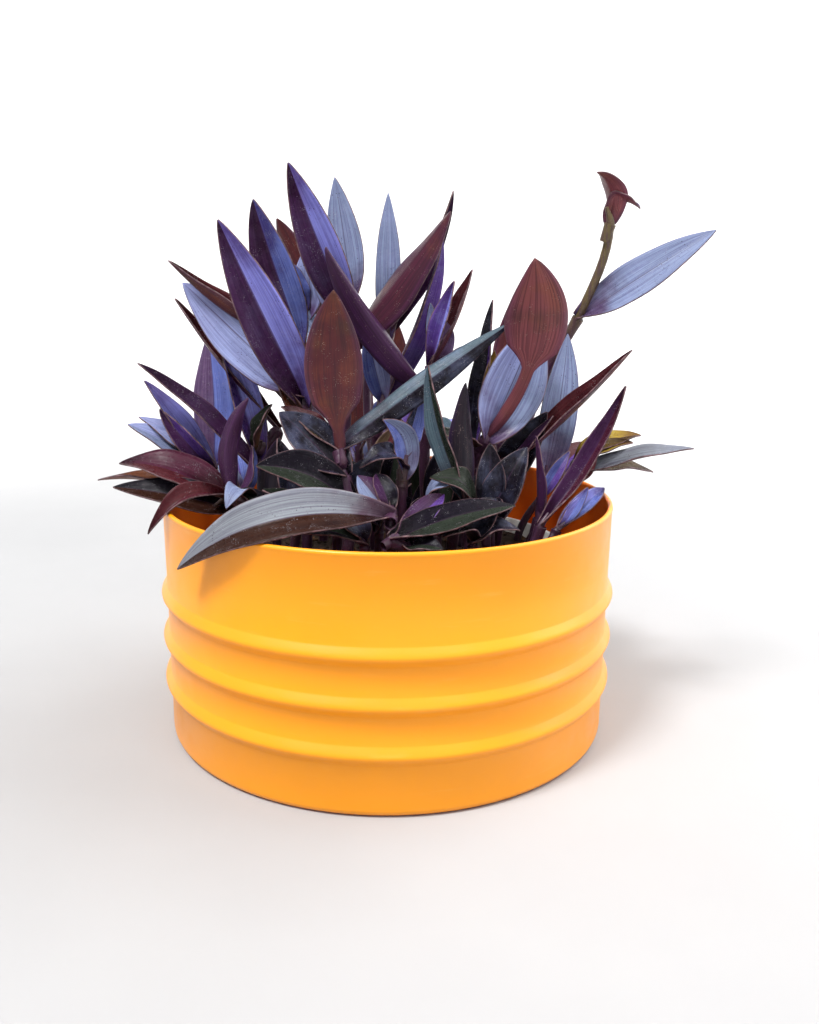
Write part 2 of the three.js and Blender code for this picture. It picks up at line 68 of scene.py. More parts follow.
# Leaf tints by name, as linear colours.
TINTS = {
    "powder": (0.31, 0.36, 0.62),
    "lavender": (0.25, 0.26, 0.70),
    "blue": (0.125, 0.165, 0.46),
    "violet": (0.115, 0.056, 0.27),
    "plum": (0.052, 0.016, 0.058),
    "maroon": (0.066, 0.014, 0.030),
    "copper": (0.190, 0.050, 0.058),
    "umber": (0.034, 0.013, 0.008),
    "wine": (0.080, 0.016, 0.020),
    "mauve": (0.13, 0.075, 0.16),
    "ash": (0.22, 0.27, 0.42),
    "silver": (0.23, 0.25, 0.275),
    "teal": (0.070, 0.110, 0.135),
    "moss": (0.020, 0.027, 0.018),
    "night": (0.007, 0.005, 0.010),
    "olive": (0.085, 0.050, 0.012),
    "rust": (0.140, 0.046, 0.018),
    "gold": (0.36, 0.25, 0.035),
    "straw": (0.46, 0.33, 0.20),
}

# Each stem: root x and y on the mix, radius, then its leaves from the mix upwards. Each leaf:
# base (x, z, depth), tip (x, z, depth), width, arch, sway, the upper face's azimuth and
# elevation, fold of each half in degrees, the tints of its left half, right half and
# underside, and the share of a stalk-like neck, where it has one. Arch bows a leaf towards
# its upper face and sway bows it sideways. A negative fold makes the midrib a ridge.
# Where a leaf's left and right tints differ, the difference is mostly painted light on one half
# and painted shade on the other.
STEMS = {
    "stem_tall_left": ((-26, 8), 3.0, [
        ((-21, 203, 2), (31, 270, -22), 26, 3, 3, 150, -35, 25, "violet violet maroon"),
        ((-20, 217, 2), (-51, 292.6, -14), 25, 5, 0, -12, 15, 36, "plum lavender wine"),
        ((-19, 223, 6), (-28, 286, 14), 19, -2, 0, -15, 15, 15, "ash ash plum"),
        ((-26, 219, 3), (-37, 257, 2), 17, 2, 0, -30, 20, 30, "powder powder plum"),
    ]),
    "stem_back_left": ((-38, 34), 2.8, [
        ((-27, 189, 30), (-63, 230, 26), 22, 3, 0, 10, 60, 20, "ash ash wine"),
        ((-40, 215, 34), (-57, 266, 40), 22, 4, 0, 160, -10, 25, "plum violet wine"),
        ((-42, 216, 32), (-39, 258, 30), 17, 2, 0, -10, 15, 15, "powder powder plum"),
        ((-44, 220, 32), (-51, 245, 28), 11, 2, 0, 20, 20, 35, "violet blue plum"),
    ]),
    "stem_left_lean": ((-44, -8), 3.2, [
        ((-44, 164, -8), (-82, 203, 14), 16, -2, 3, 20, 60, 35, "night night night"),
        ((-45, 175, -4), (-106, 234, 2), 32, 0, 0, 5, 38, 12, "powder powder wine"),
        ((-43, 172, -6), (-87, 265, -22), 29, 5, 0, -3, 15, 34, "plum lavender wine"),
        ((-47, 200, 6), (-112.5, 245, -6), 17, -5, 0, 0, 75, 60, "wine wine wine"),
        ((-45, 203, 8), (-69, 275, 6), 26, 4, 0, -8, 10, 32, "plum blue plum"),
        ((-46, 162, -12), (-58, 182, -14), 9, 0, 0, 0, 40, 40, "rust umber umber"),
    ]),
    "stem_left_upright": ((-62, 12), 2.8, [
        ((-68, 131, 6), (-131, 193, -4), 15, 4, 0, -20, 65, 40, "plum plum wine"),
        ((-70, 139, 6), (-90, 210, 22), 22, 4, 0, 35, 15, 42, "violet lavender plum"),
        ((-59, 158, 12), (-110, 226, 16), 14, -3, 0, 0, 70, 60, "wine wine wine"),
        ((-70, 146, 4), (-62, 172, -6), 14, 2, 0, -60, 20, 40, "moss moss olive"),
    ]),
    "stem_left_spray": ((-74, 18), 2.4, [
        ((-94, 134, 14), (-128, 184, 6), 15, 3, 0, 20, 40, 35, "lavender lavender wine"),
        ((-94, 135, 22), (-94, 208, 46), 24, 3, 3, -10, 5, 12, "mauve blue plum"),
        ((-94, 136, 10), (-132, 165, 8), 15, 4, 0, 0, 60, 15, "powder powder wine"),
        ((-94, 136, 10), (-121, 169, 4), 15, 7, 0, -20, 35, 50, "plum violet wine"),
        ((-95, 136, 10), (-138, 161, 0), 19, 2, 0, -10, 60, 20, "ash powder wine"),
    ]),
    "stem_left_low": ((-72, -14), 2.6, [
        ((-85, 117, -14), (-155.7, 131, 8), 15, 6, 0, 0, 80, 30, "rust rust rust"),
        ((-87, 119, -16), (-144, 140, -6), 25, 8, 0, -10, 65, 20, "wine maroon wine"),
        ((-78, 113, -22), (-148, 127, -18), 19, 4, 0, 0, 45, 20, "umber night umber"),
        ((-87, 120, -22), (-131, 101, -50), 14, 13, 0, 10, 60, 35, "wine wine wine"),
    ]),
    "stem_curl_left": ((-62, -24), 2.4, [
        ((-84, 120, -22), (-74, 175, -24), 13, 0, 8, 160, 10, 35, "plum maroon plum"),
        ((-83, 120, -24), (-73, 150, -14), 12, 2, 0, 90, 10, 50, "blue blue plum"),
        ((-75, 118, -26), (-88, 115, -44), 14, 9, 0, 0, 80, 15, "ash ash moss"),
        ((-65, 116, -22), (-58, 154, -14), 18, 3, 3, 160, 10, 20, "night night night"),
        ((-66, 112, -26), (-83, 125, -32), 12, 4, 0, 0, 60, 20, "moss night night"),
    ]),
    "stem_front_oval": ((-22, -52), 3.4, [
        ((-21, 118, -46), (-71, 139, -62), 24, 5, 3, 10, 50, 22, "moss night olive"),
        ((-24, 133, -42), (-58, 168, -34), 26, 2, 0, 20, 40, 20, "night night night"),
        ((-27, 147, -38), (-57, 171, -22), 14, 2, 0, 20, 50, 35, "olive wine wine"),
        ((-27, 149, -38), (64, 216, -20), 15, 3, 0, 10, 30, -24, "teal night night"),
        ((-25, 140, -42), (-29, 231, -46), 29, 5, 2, 180, -5, 14, "violet violet wine", 0.2),
    ]),
    "stem_front_grey": ((2, -58), 3.0, [
        ((1, 110, -76), (-116, 81, -84), 25, 22, 0, 13, 46, 20, "umber silver wine"),
        ((1, 114, -62), (-7, 135, -48), 12, 2, 0, 20, 10, 30, "plum night plum"),
        ((-1, 114, -60), (-17, 134, -46), 13, 1, 0, 10, 20, 15, "ash plum plum"),
    ]),
    "stem_front_dark": ((20, -72), 2.8, [
        ((9, 94, -84), (30, 93, -92), 12, 2, 0, 0, 70, 15, "night moss plum"),
        ((1, 97, -86), (69, 118, -62), 19, 4, 0, 0, 65, 12, "night moss plum"),
        ((6, 98, -84), (30, 124, -58), 13, 3, 0, 0, 40, 20, "plum violet plum"),
    ]),
    "stem_centre_curl": ((8, -34), 2.8, [
        ((7, 132, -36), (-3, 164, -44), 15, -2, 8, 20, 20, 20, "blue ash plum"),
        ((8, 137, -34), (-16, 138, -46), 15, 10, 0, -10, 60, 15, "night night night"),
        ((8, 145, -32), (17, 178, -26), 12, 0, 0, 30, 15, 35, "night blue plum"),
    ]),
    "stem_centre_back": ((-8, 22), 3.0, [
        ((-6, 164, 12), (4, 176, 10), 14, 2, 0, 0, 20, 15, "blue blue plum"),
        ((-3, 175, 8), (-12, 211, -6), 14, 2, 0, -10, 15, 15, "blue powder plum"),
        ((-2, 179, 10), (27, 257, 2), 22, 3, 0, 60, 10, 30, "night violet plum"),
        ((-1, 203, 22), (-1, 279, 30), 14, 2, 0, 0, 10, 15, "ash ash plum"),
        ((-1, 211, 24), (32, 280, 6), 15, 3, 0, 60, -10, 35, "plum plum wine"),
        ((-6, 140, 8), (3, 161, 0), 12, 2, 0, 0, 20, 20, "straw copper copper"),
    ]),
    "stem_centre_cross": ((22, -4), 3.2, [
        ((19, 158, -14), (5, 173, -4), 13, 2, 0, 0, 30, 20, "violet violet plum"),
        ((21, 179, -14), (-33, 252, -34), 23, 4, 0, 190, -35, 52, "violet violet plum"),
        ((22, 192, -9), (42, 242, -2), 15, -3, 0, -60, 40, 45, "wine wine wine"),
        ((22, 194, -11), (33, 236, -16), 14, 0, 0, -30, 20, 50, "violet lavender plum"),
        ((23, 194, -10), (28, 217, -4), 11, 0, 3, 0, 10, 15, "mauve mauve wine"),
        ((27, 186, 2), (38, 203, 4), 8, 0, 0, 0, 30, 20, "rust copper rust"),
        ((23, 200, 0), (21, 225, 2), 7, 0, 0, 0, 10, 20, "powder powder plum"),
    ]),
    "stem_centre_green": ((40, -44), 2.8, [
        ((43, 115, -44), (22, 133, -54), 17, 10, 0, 0, 60, 15, "moss moss night"),
        ((43, 120, -46), (40, 184, -28), 15, 3, 0, 200, 0, 30, "night moss night"),
        ((42, 122, -48), (20, 193, -44), 13, 2, -3, -45, 20, 28, "teal moss moss"),
    ]),
    "stem_right_broad": ((34, 0), 3.4, [
        ((44, 139, -6), (53, 227, 18), 17, 0, 2, -40, 10, 45, "night violet plum"),
        ((48, 148, -8), (21, 153, -30), 14, 6, 0, 0, 70, 15, "olive moss olive"),
        ((52, 154, -12), (77, 216, -4), 34, 3, 0, 10, 15, 22, "powder ash plum"),
        ((52, 154, -16), (74, 248, -40), 32, 3, -12, 180, -5, 14, "violet violet copper", 0.42),
        ((51, 166, 2), (55, 201, 4), 9, 0, 0, 0, 10, 20, "gold gold olive"),
    ]),
    "stem_right_tall": ((62, 26), 3.0, [
        ((82, 188, 20), (88, 227, 30), 12, 2, 0, 0, 10, 20, "ash blue plum"),
        ((98, 218, 10), (166.4, 262.8, -10), 22, 3, 1, 0, 38, 16, "ash ash wine"),
        ((112, 265, 0), (127, 273, -6), 14, 9, 0, 100, 60, 25, "violet copper copper"),
        ((112, 266, 0), (104, 290.2, -8), 15, 7, 0, 130, 20, 30, "blue violet copper"),
    ]),
    "stem_right_dark": ((56, 2), 3.0, [
        ((56, 125, 0), (84, 169, -8), 20, 2, 0, 0, 30, 20, "night night night"),
        ((57, 125, -6), (87, 167, -16), 9, 0, 0, 0, 60, 40, "plum plum plum"),
        ((60, 137, -4), (127, 202, -24), 18, -4, 0, -30, 60, 45, "wine wine wine"),
    ]),
    "stem_right_fork": ((71, -24), 2.8, [
        ((82, 110, -28), (79, 156, -34), 10, 0, 0, 90, 10, 45, "violet violet plum"),
        ((83, 122, -24), (97, 148, -20), 9, 2, 0, 0, 40, 40, "blue violet plum"),
        ((84, 132, -10), (93, 210, 8), 20, -2, 2, 0, 10, 12, "ash ash plum"),
    ]),
    "stem_right_front": ((69, -44), 2.8, [
        ((83, 106, -44), (125, 183, -28), 14, -7, 0, -40, 20, 42, "plum maroon maroon"),
    ]),
    "stem_right_low": ((78, 14), 2.6, [
        ((99, 133, 6), (164, 150, -14), 17, 3, 0, 0, 70, 25, "silver silver wine"),
        ((100, 135, 8), (143, 137, 26), 14, 4, 0, 0, 75, 20, "olive olive olive"),
        ((101, 142, 10), (131, 153, 4), 13, 3, 0, 0, 60, 25, "olive gold olive"),
        ((101, 146, 8), (135, 157, 14), 15, 3, 0, 0, 60, 20, "gold olive olive"),
        ((101, 132, 4), (110, 152, 4), 12, 2, 0, 0, 20, 20, "wine copper umber"),
    ]),
    "stem_right_rim": ((78, -32), 2.4, [
        ((92, 104, -30), (108, 128, -14), 9, 0, 0, 0, 20, 40, "lavender blue plum"),
        ((94, 106, -30), (117, 128, -2), 12, 2, 0, 0, 40, 40, "lavender blue plum"),
    ]),
    "stem_low_left": ((-50, -36), 2.4, [
        ((-50, 103, -38), (-68, 126, -50), 15, 6, 0, 0, 60, 25, "night moss night"),
        ((-50, 105, -36), (-32, 133, -26), 17, 5, 0, 0, 55, 25, "night night night"),
        ((-52, 110, -38), (-59, 154, -30), 14, 3, 0, 20, 30, 35, "night night plum"),
    ]),
    "stem_low_mid_left": ((-28, -22), 2.4, [
        ((-28, 103, -24), (-46, 128, -12), 16, 5, 0, 0, 60, 25, "night night night"),
        ((-27, 108, -24), (-3, 147, -22), 20, 5, 0, 10, 50, 20, "night night moss"),
        ((-28, 114, -22), (-40, 158, -16), 20, 3, 0, 10, 30, 25, "moss night night"),
    ]),
    "stem_low_centre": ((-6, -2), 2.4, [
        ((-5, 103, -4), (12, 130, -14), 16, 5, 0, 0, 60, 25, "night moss night"),
        ((-6, 108, -2), (-20, 142, 4), 18, 4, 0, 0, 40, 25, "night night plum"),
        ((-5, 112, -2), (4, 154, 2), 18, 3, 0, 20, 25, 25, "night moss olive"),
    ]),
    "stem_low_mid_right": ((26, -26), 2.4, [
        ((26, 101, -28), (12, 118, -50), 15, 6, 0, 0, 60, 25, "moss night night"),
        ((27, 106, -26), (48, 134, -22), 18, 5, 0, 0, 50, 25, "night night night"),
        ((27, 112, -26), (30, 152, -24), 18, 3, 0, -20, 30, 25, "night moss olive"),
        ((23, 118, -44), (38, 130, -54), 13, 7, 0, 0, 60, 15, "ash ash night"),
    ]),
    "stem_low_right": ((52, -26), 2.4, [
        ((53, 101, -28), (62, 118, -52), 16, 6, 0, 0, 60, 25, "night moss night"),
        ((54, 106, -26), (74, 150, -22), 22, 5, 0, -10, 45, 25, "night night night"),
        ((53, 112, -26), (54, 152, -20), 17, 3, 0, 10, 30, 25, "night night plum"),
    ]),
    "stem_low_back": ((14, 24), 2.4, [
        ((14, 104, 24), (-6, 128, 38), 17, 6, 0, 180, 60, 25, "moss moss night"),
        ((15, 108, 24), (36, 140, 22), 18, 5, 0, 0, 50, 25, "night night plum"),
        ((14, 112, 24), (8, 152, 30), 20, 3, 0, 0, 30, 25, "night moss night"),
    ]),
    "stem_low_back_right": ((42, 26), 2.4, [
        ((42, 104, 28), (34, 126, 46), 17, 6, 0, 180, 60, 25, "moss moss night"),
        ((43, 108, 26), (66, 136, 14), 17, 5, 0, 0, 60, 25, "night night night"),
        ((42, 112, 26), (50, 152, 30), 20, 3, 0, 0, 30, 25, "night moss plum"),
    ]),
    "stem_low_front_left": ((-14, -76), 2.4, [
        ((-13, 94, -78), (-60, 99, -76), 15, 7, 0, 0, 70, 25, "night moss night"),
        ((-13, 98, -78), (-30, 116, -66), 15, 5, 0, 0, 60, 25, "night night night"),
    ]),
    "stem_low_front_right": ((46, -66), 2.4, [
        ((46, 95, -68), (72, 104, -70), 15, 5, 0, 0, 70, 25, "night night night"),
        ((46, 97, -68), (30, 100, -84), 15, 5, 0, 0, 70, 25, "moss night night"),
        ((46, 99, -66), (58, 122, -56), 15, 5, 0, 0, 50, 25, "night night night"),
    ]),
    "stem_rear_left_high": ((-50, 52), 3.0, [
        ((-44, 140, 60), (-46, 147, 128), 20, 15, 0, 0, 80, 25, "blue violet wine"),
        ((-46, 158, 56), (-92, 218, 88), 22, 8, 0, 160, 60, 25, "violet lavender wine"),
        ((-42, 152, 60), (-34, 200, 92), 22, 6, 0, 180, 45, 25, "blue ash plum"),
        ((-48, 168, 55), (-78, 237, 64), 24, 5, 0, 150, 20, 28, "plum lavender wine"),
        ((-44, 172, 58), (-60, 242, 84), 22, 6, 0, 170, 30, 25, "violet blue wine"),
    ]),
    "stem_rear_mid_left": ((-18, 68), 2.8, [
        ((-16, 134, 72), (-12, 146, 133.9), 18, 14, 0, 0, 80, 25, "violet blue plum"),
        ((-16, 146, 72), (-8, 172, 112), 18, 7, 0, 180, 60, 25, "lavender ash wine"),
        ((-16, 150, 72), (-16, 200, 84), 20, 4, 0, 180, 30, 25, "plum violet wine"),
    ]),
    "stem_rear_centre": ((2, 52), 3.0, [
        ((5, 142, 58), (14, 147, 126), 19, 15, 0, 0, 80, 25, "blue blue plum"),
        ((2, 150, 58), (10, 170, 108), 20, 8, 0, 180, 60, 25, "violet lavender wine"),
        ((0, 158, 56), (4, 215, 72), 21, 4, 0, 170, 20, 25, "plum blue wine"),
    ]),
    "stem_rear_mid_right": ((30, 64), 2.8, [
        ((29, 136, 68), (36, 146, 133.9), 18, 14, 0, 0, 80, 25, "teal ash plum"),
        ((31, 138, 68), (58, 148, 122), 19, 13, 0, 0, 80, 25, "blue violet wine"),
        ((30, 144, 68), (42, 164, 112), 20, 8, 0, 180, 60, 25, "lavender ash wine"),
        ((29, 148, 68), (22, 166, 100), 17, 5, 0, 180, 50, 25, "moss teal plum"),
    ]),
    "stem_rear_right_high": ((58, 44), 3.0, [
        ((61, 144, 52), (78, 152, 110), 21, 12, 0, 180, 65, 25, "violet lavender wine"),
        ((60, 152, 52), (50, 198, 84), 20, 5, 0, 180, 40, 25, "plum blue plum"),
        ((62, 164, 52), (84, 224, 78), 23, 6, 0, 200, 30, 25, "violet lavender wine"),
        ((60, 168, 52), (70, 238, 66), 22, 4, 0, 180, 15, 25, "plum blue wine"),
    ]),
    "stem_rear_left_low": ((-68, 42), 2.6, [
        ((-78, 124, 46), (-84, 142, 100), 17, 12, 0, 0, 80, 25, "violet blue plum"),
        ((-80, 124, 44), (-112, 138, 66), 18, 10, 0, 0, 80, 25, "ash ash wine"),
    ]),
    "stem_rear_right_low": ((76, 38), 2.6, [
        ((84, 124, 42), (96, 146, 98), 17, 12, 0, 0, 80, 25, "lavender blue wine"),
        ((86, 126, 40), (112, 150, 74), 18, 9, 0, 0, 80, 25, "wine violet wine"),
    ]),
}

# Stems, in millimetres unless a comment says otherwise.
STEM_DEPTH = 6.0  # how far below the mix the finished stem starts
STEM_RISE = 2.0  # how far above the mix it goes straight up
BASE_GAP = 7.0  # a stem's line skips a leaf base that is nearer than this to the last one
STEM_OVER = 8.0  # how far a stem runs on into its top leaf
STEM_TAPER = 0.32  # how much thinner it gets on the way up, as a share of its radius
STEM_TIP = 0.3  # a stem's radius at its very top, as a share of its full radius
NODE_GAP = 4.0  # leaves that sit closer than this share one sleeve

# Sleeves, as shares of the stem's radius.
SLEEVE_EASE = 1.06  # the lowest sleeve's radius
SLEEVE_TAPER = 0.25  # how much tighter the sleeves get on the way up
SLEEVE_MOUTH = 1.10
SLEEVE_FOOT = 0.92
SLEEVE_WALL = 0.07

# Leaves.
LEAF_COLUMNS = 12
LEAF_ROWS = 40
SHEATH_FOLD = 72.0  # degrees, how far a leaf's base closes round its stem
SHEATH_END = 0.3  # share of the leaf's length over which it opens
ROOT_REACH = 0.14  # share of the leaf's length over which it leaves the stem
NECK_WIDTH = 0.2  # width of a stalk-like neck, as a share of the widest part
NECK_SHOULDER = 0.18  # share of the blade over which it widens from a neck
LANCE_START = 0.12  # how far along a full lance shape a leaf's outline starts
FULLNESS = 0.85  # below 1, the outline is fuller than a plain arc
LEAST_WIDTH = 0.004  # no leaf's outline is narrower than this share of its widest part
MARGIN = (0.478, 0.496)  # where the pale margin starts and is full, from the midrib's 0
TROUGH = 0.4  # how round the trough between a leaf's folded halves is; 0 is a plain crease
LEAF_WAVES = (1.4, 2.6)  # fewest and most waves along a leaf's edge
LEAF_TWIST = 9  # degrees, the most that a leaf is twisted either way
LEAF_LEAN = 0.05  # the most by which one half is wider than its share

RIB_STEPS = 8  # steps from a rib's middle to its foot
ROUND_STEPS = 120  # steps round the grow pot and the mix
MIX_RINGS = 30  # rings of the mix's surface
MIX_GAP = 0.35 * MM  # clearance between the mix and the grow pot's wall

# The studio's round floor, in metres: its flat part, its bend into the wall and its height.
SWEEP_RINGS = (0.4, 1.2)
SWEEP_FLOOR = 2.4
SWEEP_BEND = 1.6
SWEEP_HEIGHT = 3.6


# ---------------------------------------------------------------- settings
def length_setting(name, description, metres):
    return bpy.props.FloatProperty(
        name=name, description=description, default=metres, unit="LENGTH"
    )


def angle_setting(name, description, degrees):
    return bpy.props.FloatProperty(
        name=name, description=description, default=math.radians(degrees), unit="ROTATION"
    )


def number_setting(name, description, number):
    return bpy.props.FloatProperty(name=name, description=description, default=number)


def count_setting(name, description, number):
    return bpy.props.IntProperty(name=name, description=description, default=number)


def colour_setting(name, description, colour):
    return bpy.props.FloatVectorProperty(
        name=name, description=description, default=colour, subtype="COLOR"
    )


class PotSettings(bpy.types.PropertyGroup):
    radius: length_setting("Radius", "Radius of the plain wall", POT_HIGH.x - 3.0 * MM)
    height: length_setting("Height", "Floor to the top of the rolled rim", POT_HIGH.z)
    sheet: length_setting("Sheet", "Thickness of the metal", 1.5 * MM)
    bead: length_setting("Bead", "Radius of the rolled rim", 1.3 * MM)
    edge_round: length_setting("Edge round", "Height of the rounded bottom edge", 4.0 * MM)
    rib_heights: bpy.props.FloatVectorProperty(
        name="Rib heights",
        description="Middle of each rib above the floor",
        default=(30.6 * MM, 53.9 * MM, 77.4 * MM),
        unit="LENGTH",
    )
    rib_proud: length_setting("Rib proud", "How far a rib stands out", 3.0 * MM)
    rib_half_width: length_setting(
        "Rib half width", "Half of a rib's width up the wall", 5.0 * MM
    )
    rib_crest: number_setting(
        "Rib crest", "Rounding of a rib's crest, as a share of its half width", 0.2
    )
    steps: count_setting("Steps", "Steps round the pot", 160)
    coat: colour_setting("Coat", "Colour of the powder coat", (0.93, 0.325, 0.003))
    # Painted shade: the same coat, drawn deeper and redder inside the pot, where it lies in
    # shade and takes light bounced off its walls.
    inner_painted_shade: colour_setting(
        "Lining", "Colour of the coat inside the pot, which is deeper", (0.86, 0.17, 0.012)
    )


class GrowPotSettings(bpy.types.PropertyGroup):
    lip_radius: length_setting("Lip radius", "Radius of the lip", GROW_HIGH.x)
    floor_radius: length_setting("Floor radius", "Radius at the floor", 80 * MM)
    wall: length_setting("Wall", "Thickness of the plastic", 1.3 * MM)
    lip_proud: length_setting("Lip proud", "How far the lip stands out", 2.2 * MM)
    lip_drop: length_setting("Lip drop", "Height of the lip", 5 * MM)
    drains: count_setting("Drains", "Number of drain holes", 6)
    drain_radius: length_setting("Drain radius", "Radius of a drain hole", 5 * MM)
    drain_circle: length_setting("Drain circle", "Radius of the circle of drain holes", 52 * MM)
    plastic: colour_setting("Plastic", "Colour of the plastic", (0.74, 0.72, 0.68))


class MixSettings(bpy.types.PropertyGroup):
    top: length_setting("Top", "Mean height of the mix", 88 * MM)
    lumps: length_setting("Lumps", "Height of the lumps in the surface", 2.4 * MM)
    crumbs: count_setting("Crumbs", "Number of loose crumbs", 420)
    chips: count_setting("Chips", "Number of bark chips", 110)
    peat: colour_setting("Peat", "Colour of the peat", (0.016, 0.009, 0.006))
    bark: colour_setting("Bark", "Colour of the bark chips", (0.13, 0.060, 0.028))


class PlantSettings(bpy.types.PropertyGroup):
    blade: length_setting("Blade", "Thickness of a leaf", 0.7 * MM)
    ripple: length_setting("Ripple", "Height of the waves along a leaf's edges", 0.6 * MM)
    sleeve: length_setting(
        "Sleeve", "Length of the sleeve that a leaf's base makes round its stem", 9 * MM
    )
    margin: colour_setting(
        "Margin", "Colour of a leaf's pale, finely haired edge", (0.19, 0.11, 0.12)
    )
    bloom: colour_setting("Bloom", "Colour of the waxy bloom on the leaves", (0.34, 0.40, 0.66))
    stalk: colour_setting("Stalk", "Colour of the stems", (0.060, 0.020, 0.050))


class StudioSettings(bpy.types.PropertyGroup):
    eye: bpy.props.FloatVectorProperty(
        name="Eye",
        description="Place of the camera",
        default=(0.0, -0.502, 0.2337),
        unit="LENGTH",
    )
    pitch: angle_setting("Pitch", "How far the camera looks down", 13.42)
    yaw: angle_setting("Yaw", "How far the camera turns to the right", 1.29)
    roll: angle_setting("Roll", "How far the camera leans", 0.58)
    lens: number_setting("Lens", "Focal length in millimetres", 33.4)
    key: number_setting("Key", "Strength of the main light", 3.0)
    key_width: angle_setting("Key width", "How wide the main light looks from the pot", 14)
    key_way: bpy.props.FloatVectorProperty(
        name="Key way", description="The way the main light travels", default=(0.35, 0.30, -0.89)
    )
    overhead: number_setting("Overhead", "Power of the lamp above, in watts", 11.5)
    fill: number_setting("Fill", "Power of the soft light, in watts", 1.5)
    glow: number_setting("Glow", "Power of the soft lamp at the right, in watts", 22.0)
    wash: number_setting("Wash", "Power of the lamp on the far wall, in watts", 26.0)
    sky: number_setting("Sky", "Strength of the white surroundings", 0.22)
    floor: colour_setting("Floor", "Colour of the floor by the pot", (0.395, 0.395, 0.40))
    wall: colour_setting("Wall", "Colour of the far wall", (0.94, 0.94, 0.94))


# ---------------------------------------------------------------- modelling helpers
def deselect():
    if bpy.context.object and bpy.context.object.mode != "OBJECT":
        bpy.ops.object.mode_set(mode="OBJECT")
    bpy.ops.object.select_all(action="DESELECT")


def take(*objects):
    """Selects these objects, the last of them active."""
    deselect()
    for each in objects:
        each.select_set(True)
        bpy.context.view_layer.objects.active = each
    return objects[-1]


def fresh(name):
    """Names the object that an operator has just added."""
    made = bpy.context.object
    made.name = name
    made.data.name = name
    return made


def settle(piece):
    """Puts a piece's place, turn and size into its mesh."""
    take(piece)
    bpy.ops.object.transform_apply(location=True, rotation=True, scale=True)


def finish_with(piece, kind, **settings):
    """Adds a modifier and applies it."""
    take(piece)
    modifier = piece.modifiers.new(kind.lower(), kind)
    for key, value in settings.items():
        setattr(modifier, key, value)
    bpy.ops.object.modifier_apply(modifier=modifier.name)


def joined(pieces, name):
    take(*pieces)
    if len(pieces) > 1:
        bpy.ops.object.join()
    return fresh(name)


def copied(blank, name):
    """A copy of a blank with a mesh of its own."""
    twin = blank.copy()
    twin.data = blank.data.copy()
    twin.name = name
    bpy.context.scene.collection.objects.link(twin)
    return twin


def discard(piece):
    mesh = piece.data
    bpy.data.objects.remove(piece)
    bpy.data.meshes.remove(mesh)


def clamped(value, low=0.0, high=1.0):
    return max(low, min(high, value))


def shaded(colour, share):
    """A colour made darker or lighter by one share."""
    return tuple(channel * share for channel in colour)


def scale_level(mesh, axis, level, reach, scale):
    """Scales the vertices that lie at one level of an axis, about that level's middle."""
    for vertex in mesh.verts:
        vertex.select_set(abs(vertex.co[axis] - level) < reach)
    mesh.select_flush(True)
    middle = [0, 0, 0]
    middle[axis] = level
    bpy.ops.transform.resize(value=scale, center_override=middle)


def spun(name, profile, steps):
    """A closed round body: one vertex is extruded along the profile, then spun about Z."""
    deselect()
    bpy.ops.mesh.primitive_plane_add(size=MM)
    made = fresh(name)
    bpy.ops.object.mode_set(mode="EDIT")
    bpy.ops.mesh.select_all(action="SELECT")
    bpy.ops.mesh.merge(type="CENTER")
    start = Vector((profile[0][0], 0, profile[0][1]))
    bpy.ops.transform.translate(value=start)
    for (radius, height), (next_radius, next_height) in zip(profile, profile[1:]):
        step = (next_radius - radius, 0, next_height - height)
        bpy.ops.mesh.extrude_region_move(TRANSFORM_OT_translate={"value": step})
    bpy.ops.mesh.select_all(action="SELECT")
    bpy.ops.mesh.spin(steps=steps, angle=2 * math.pi, center=(0, 0, 0), axis=(0, 0, 1))
    bpy.ops.mesh.select_all(action="SELECT")
    bpy.ops.mesh.remove_doubles(threshold=0.01 * MM)
    bpy.ops.mesh.normals_make_consistent(inside=False)
    bpy.ops.object.mode_set(mode="OBJECT")
    return made


def arc(centre, radius, first, last, count):
    """Points of a round corner in a profile, by angle in degrees."""
    turns = [math.radians(first + (last - first) * k / count) for k in range(count + 1)]
    return [
        (centre[0] + radius * math.cos(turn), centre[1] + radius * math.sin(turn))
        for turn in turns
    ]


def smooth(piece, degrees):
    take(piece)
    bpy.ops.object.shade_smooth_by_angle(angle=math.radians(degrees))


def place(piece, slot, *nodes):
    """Hangs a finished piece on the frame in place of its plain solids."""
    if nodes:
        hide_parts(*nodes)
    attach(piece, "root")


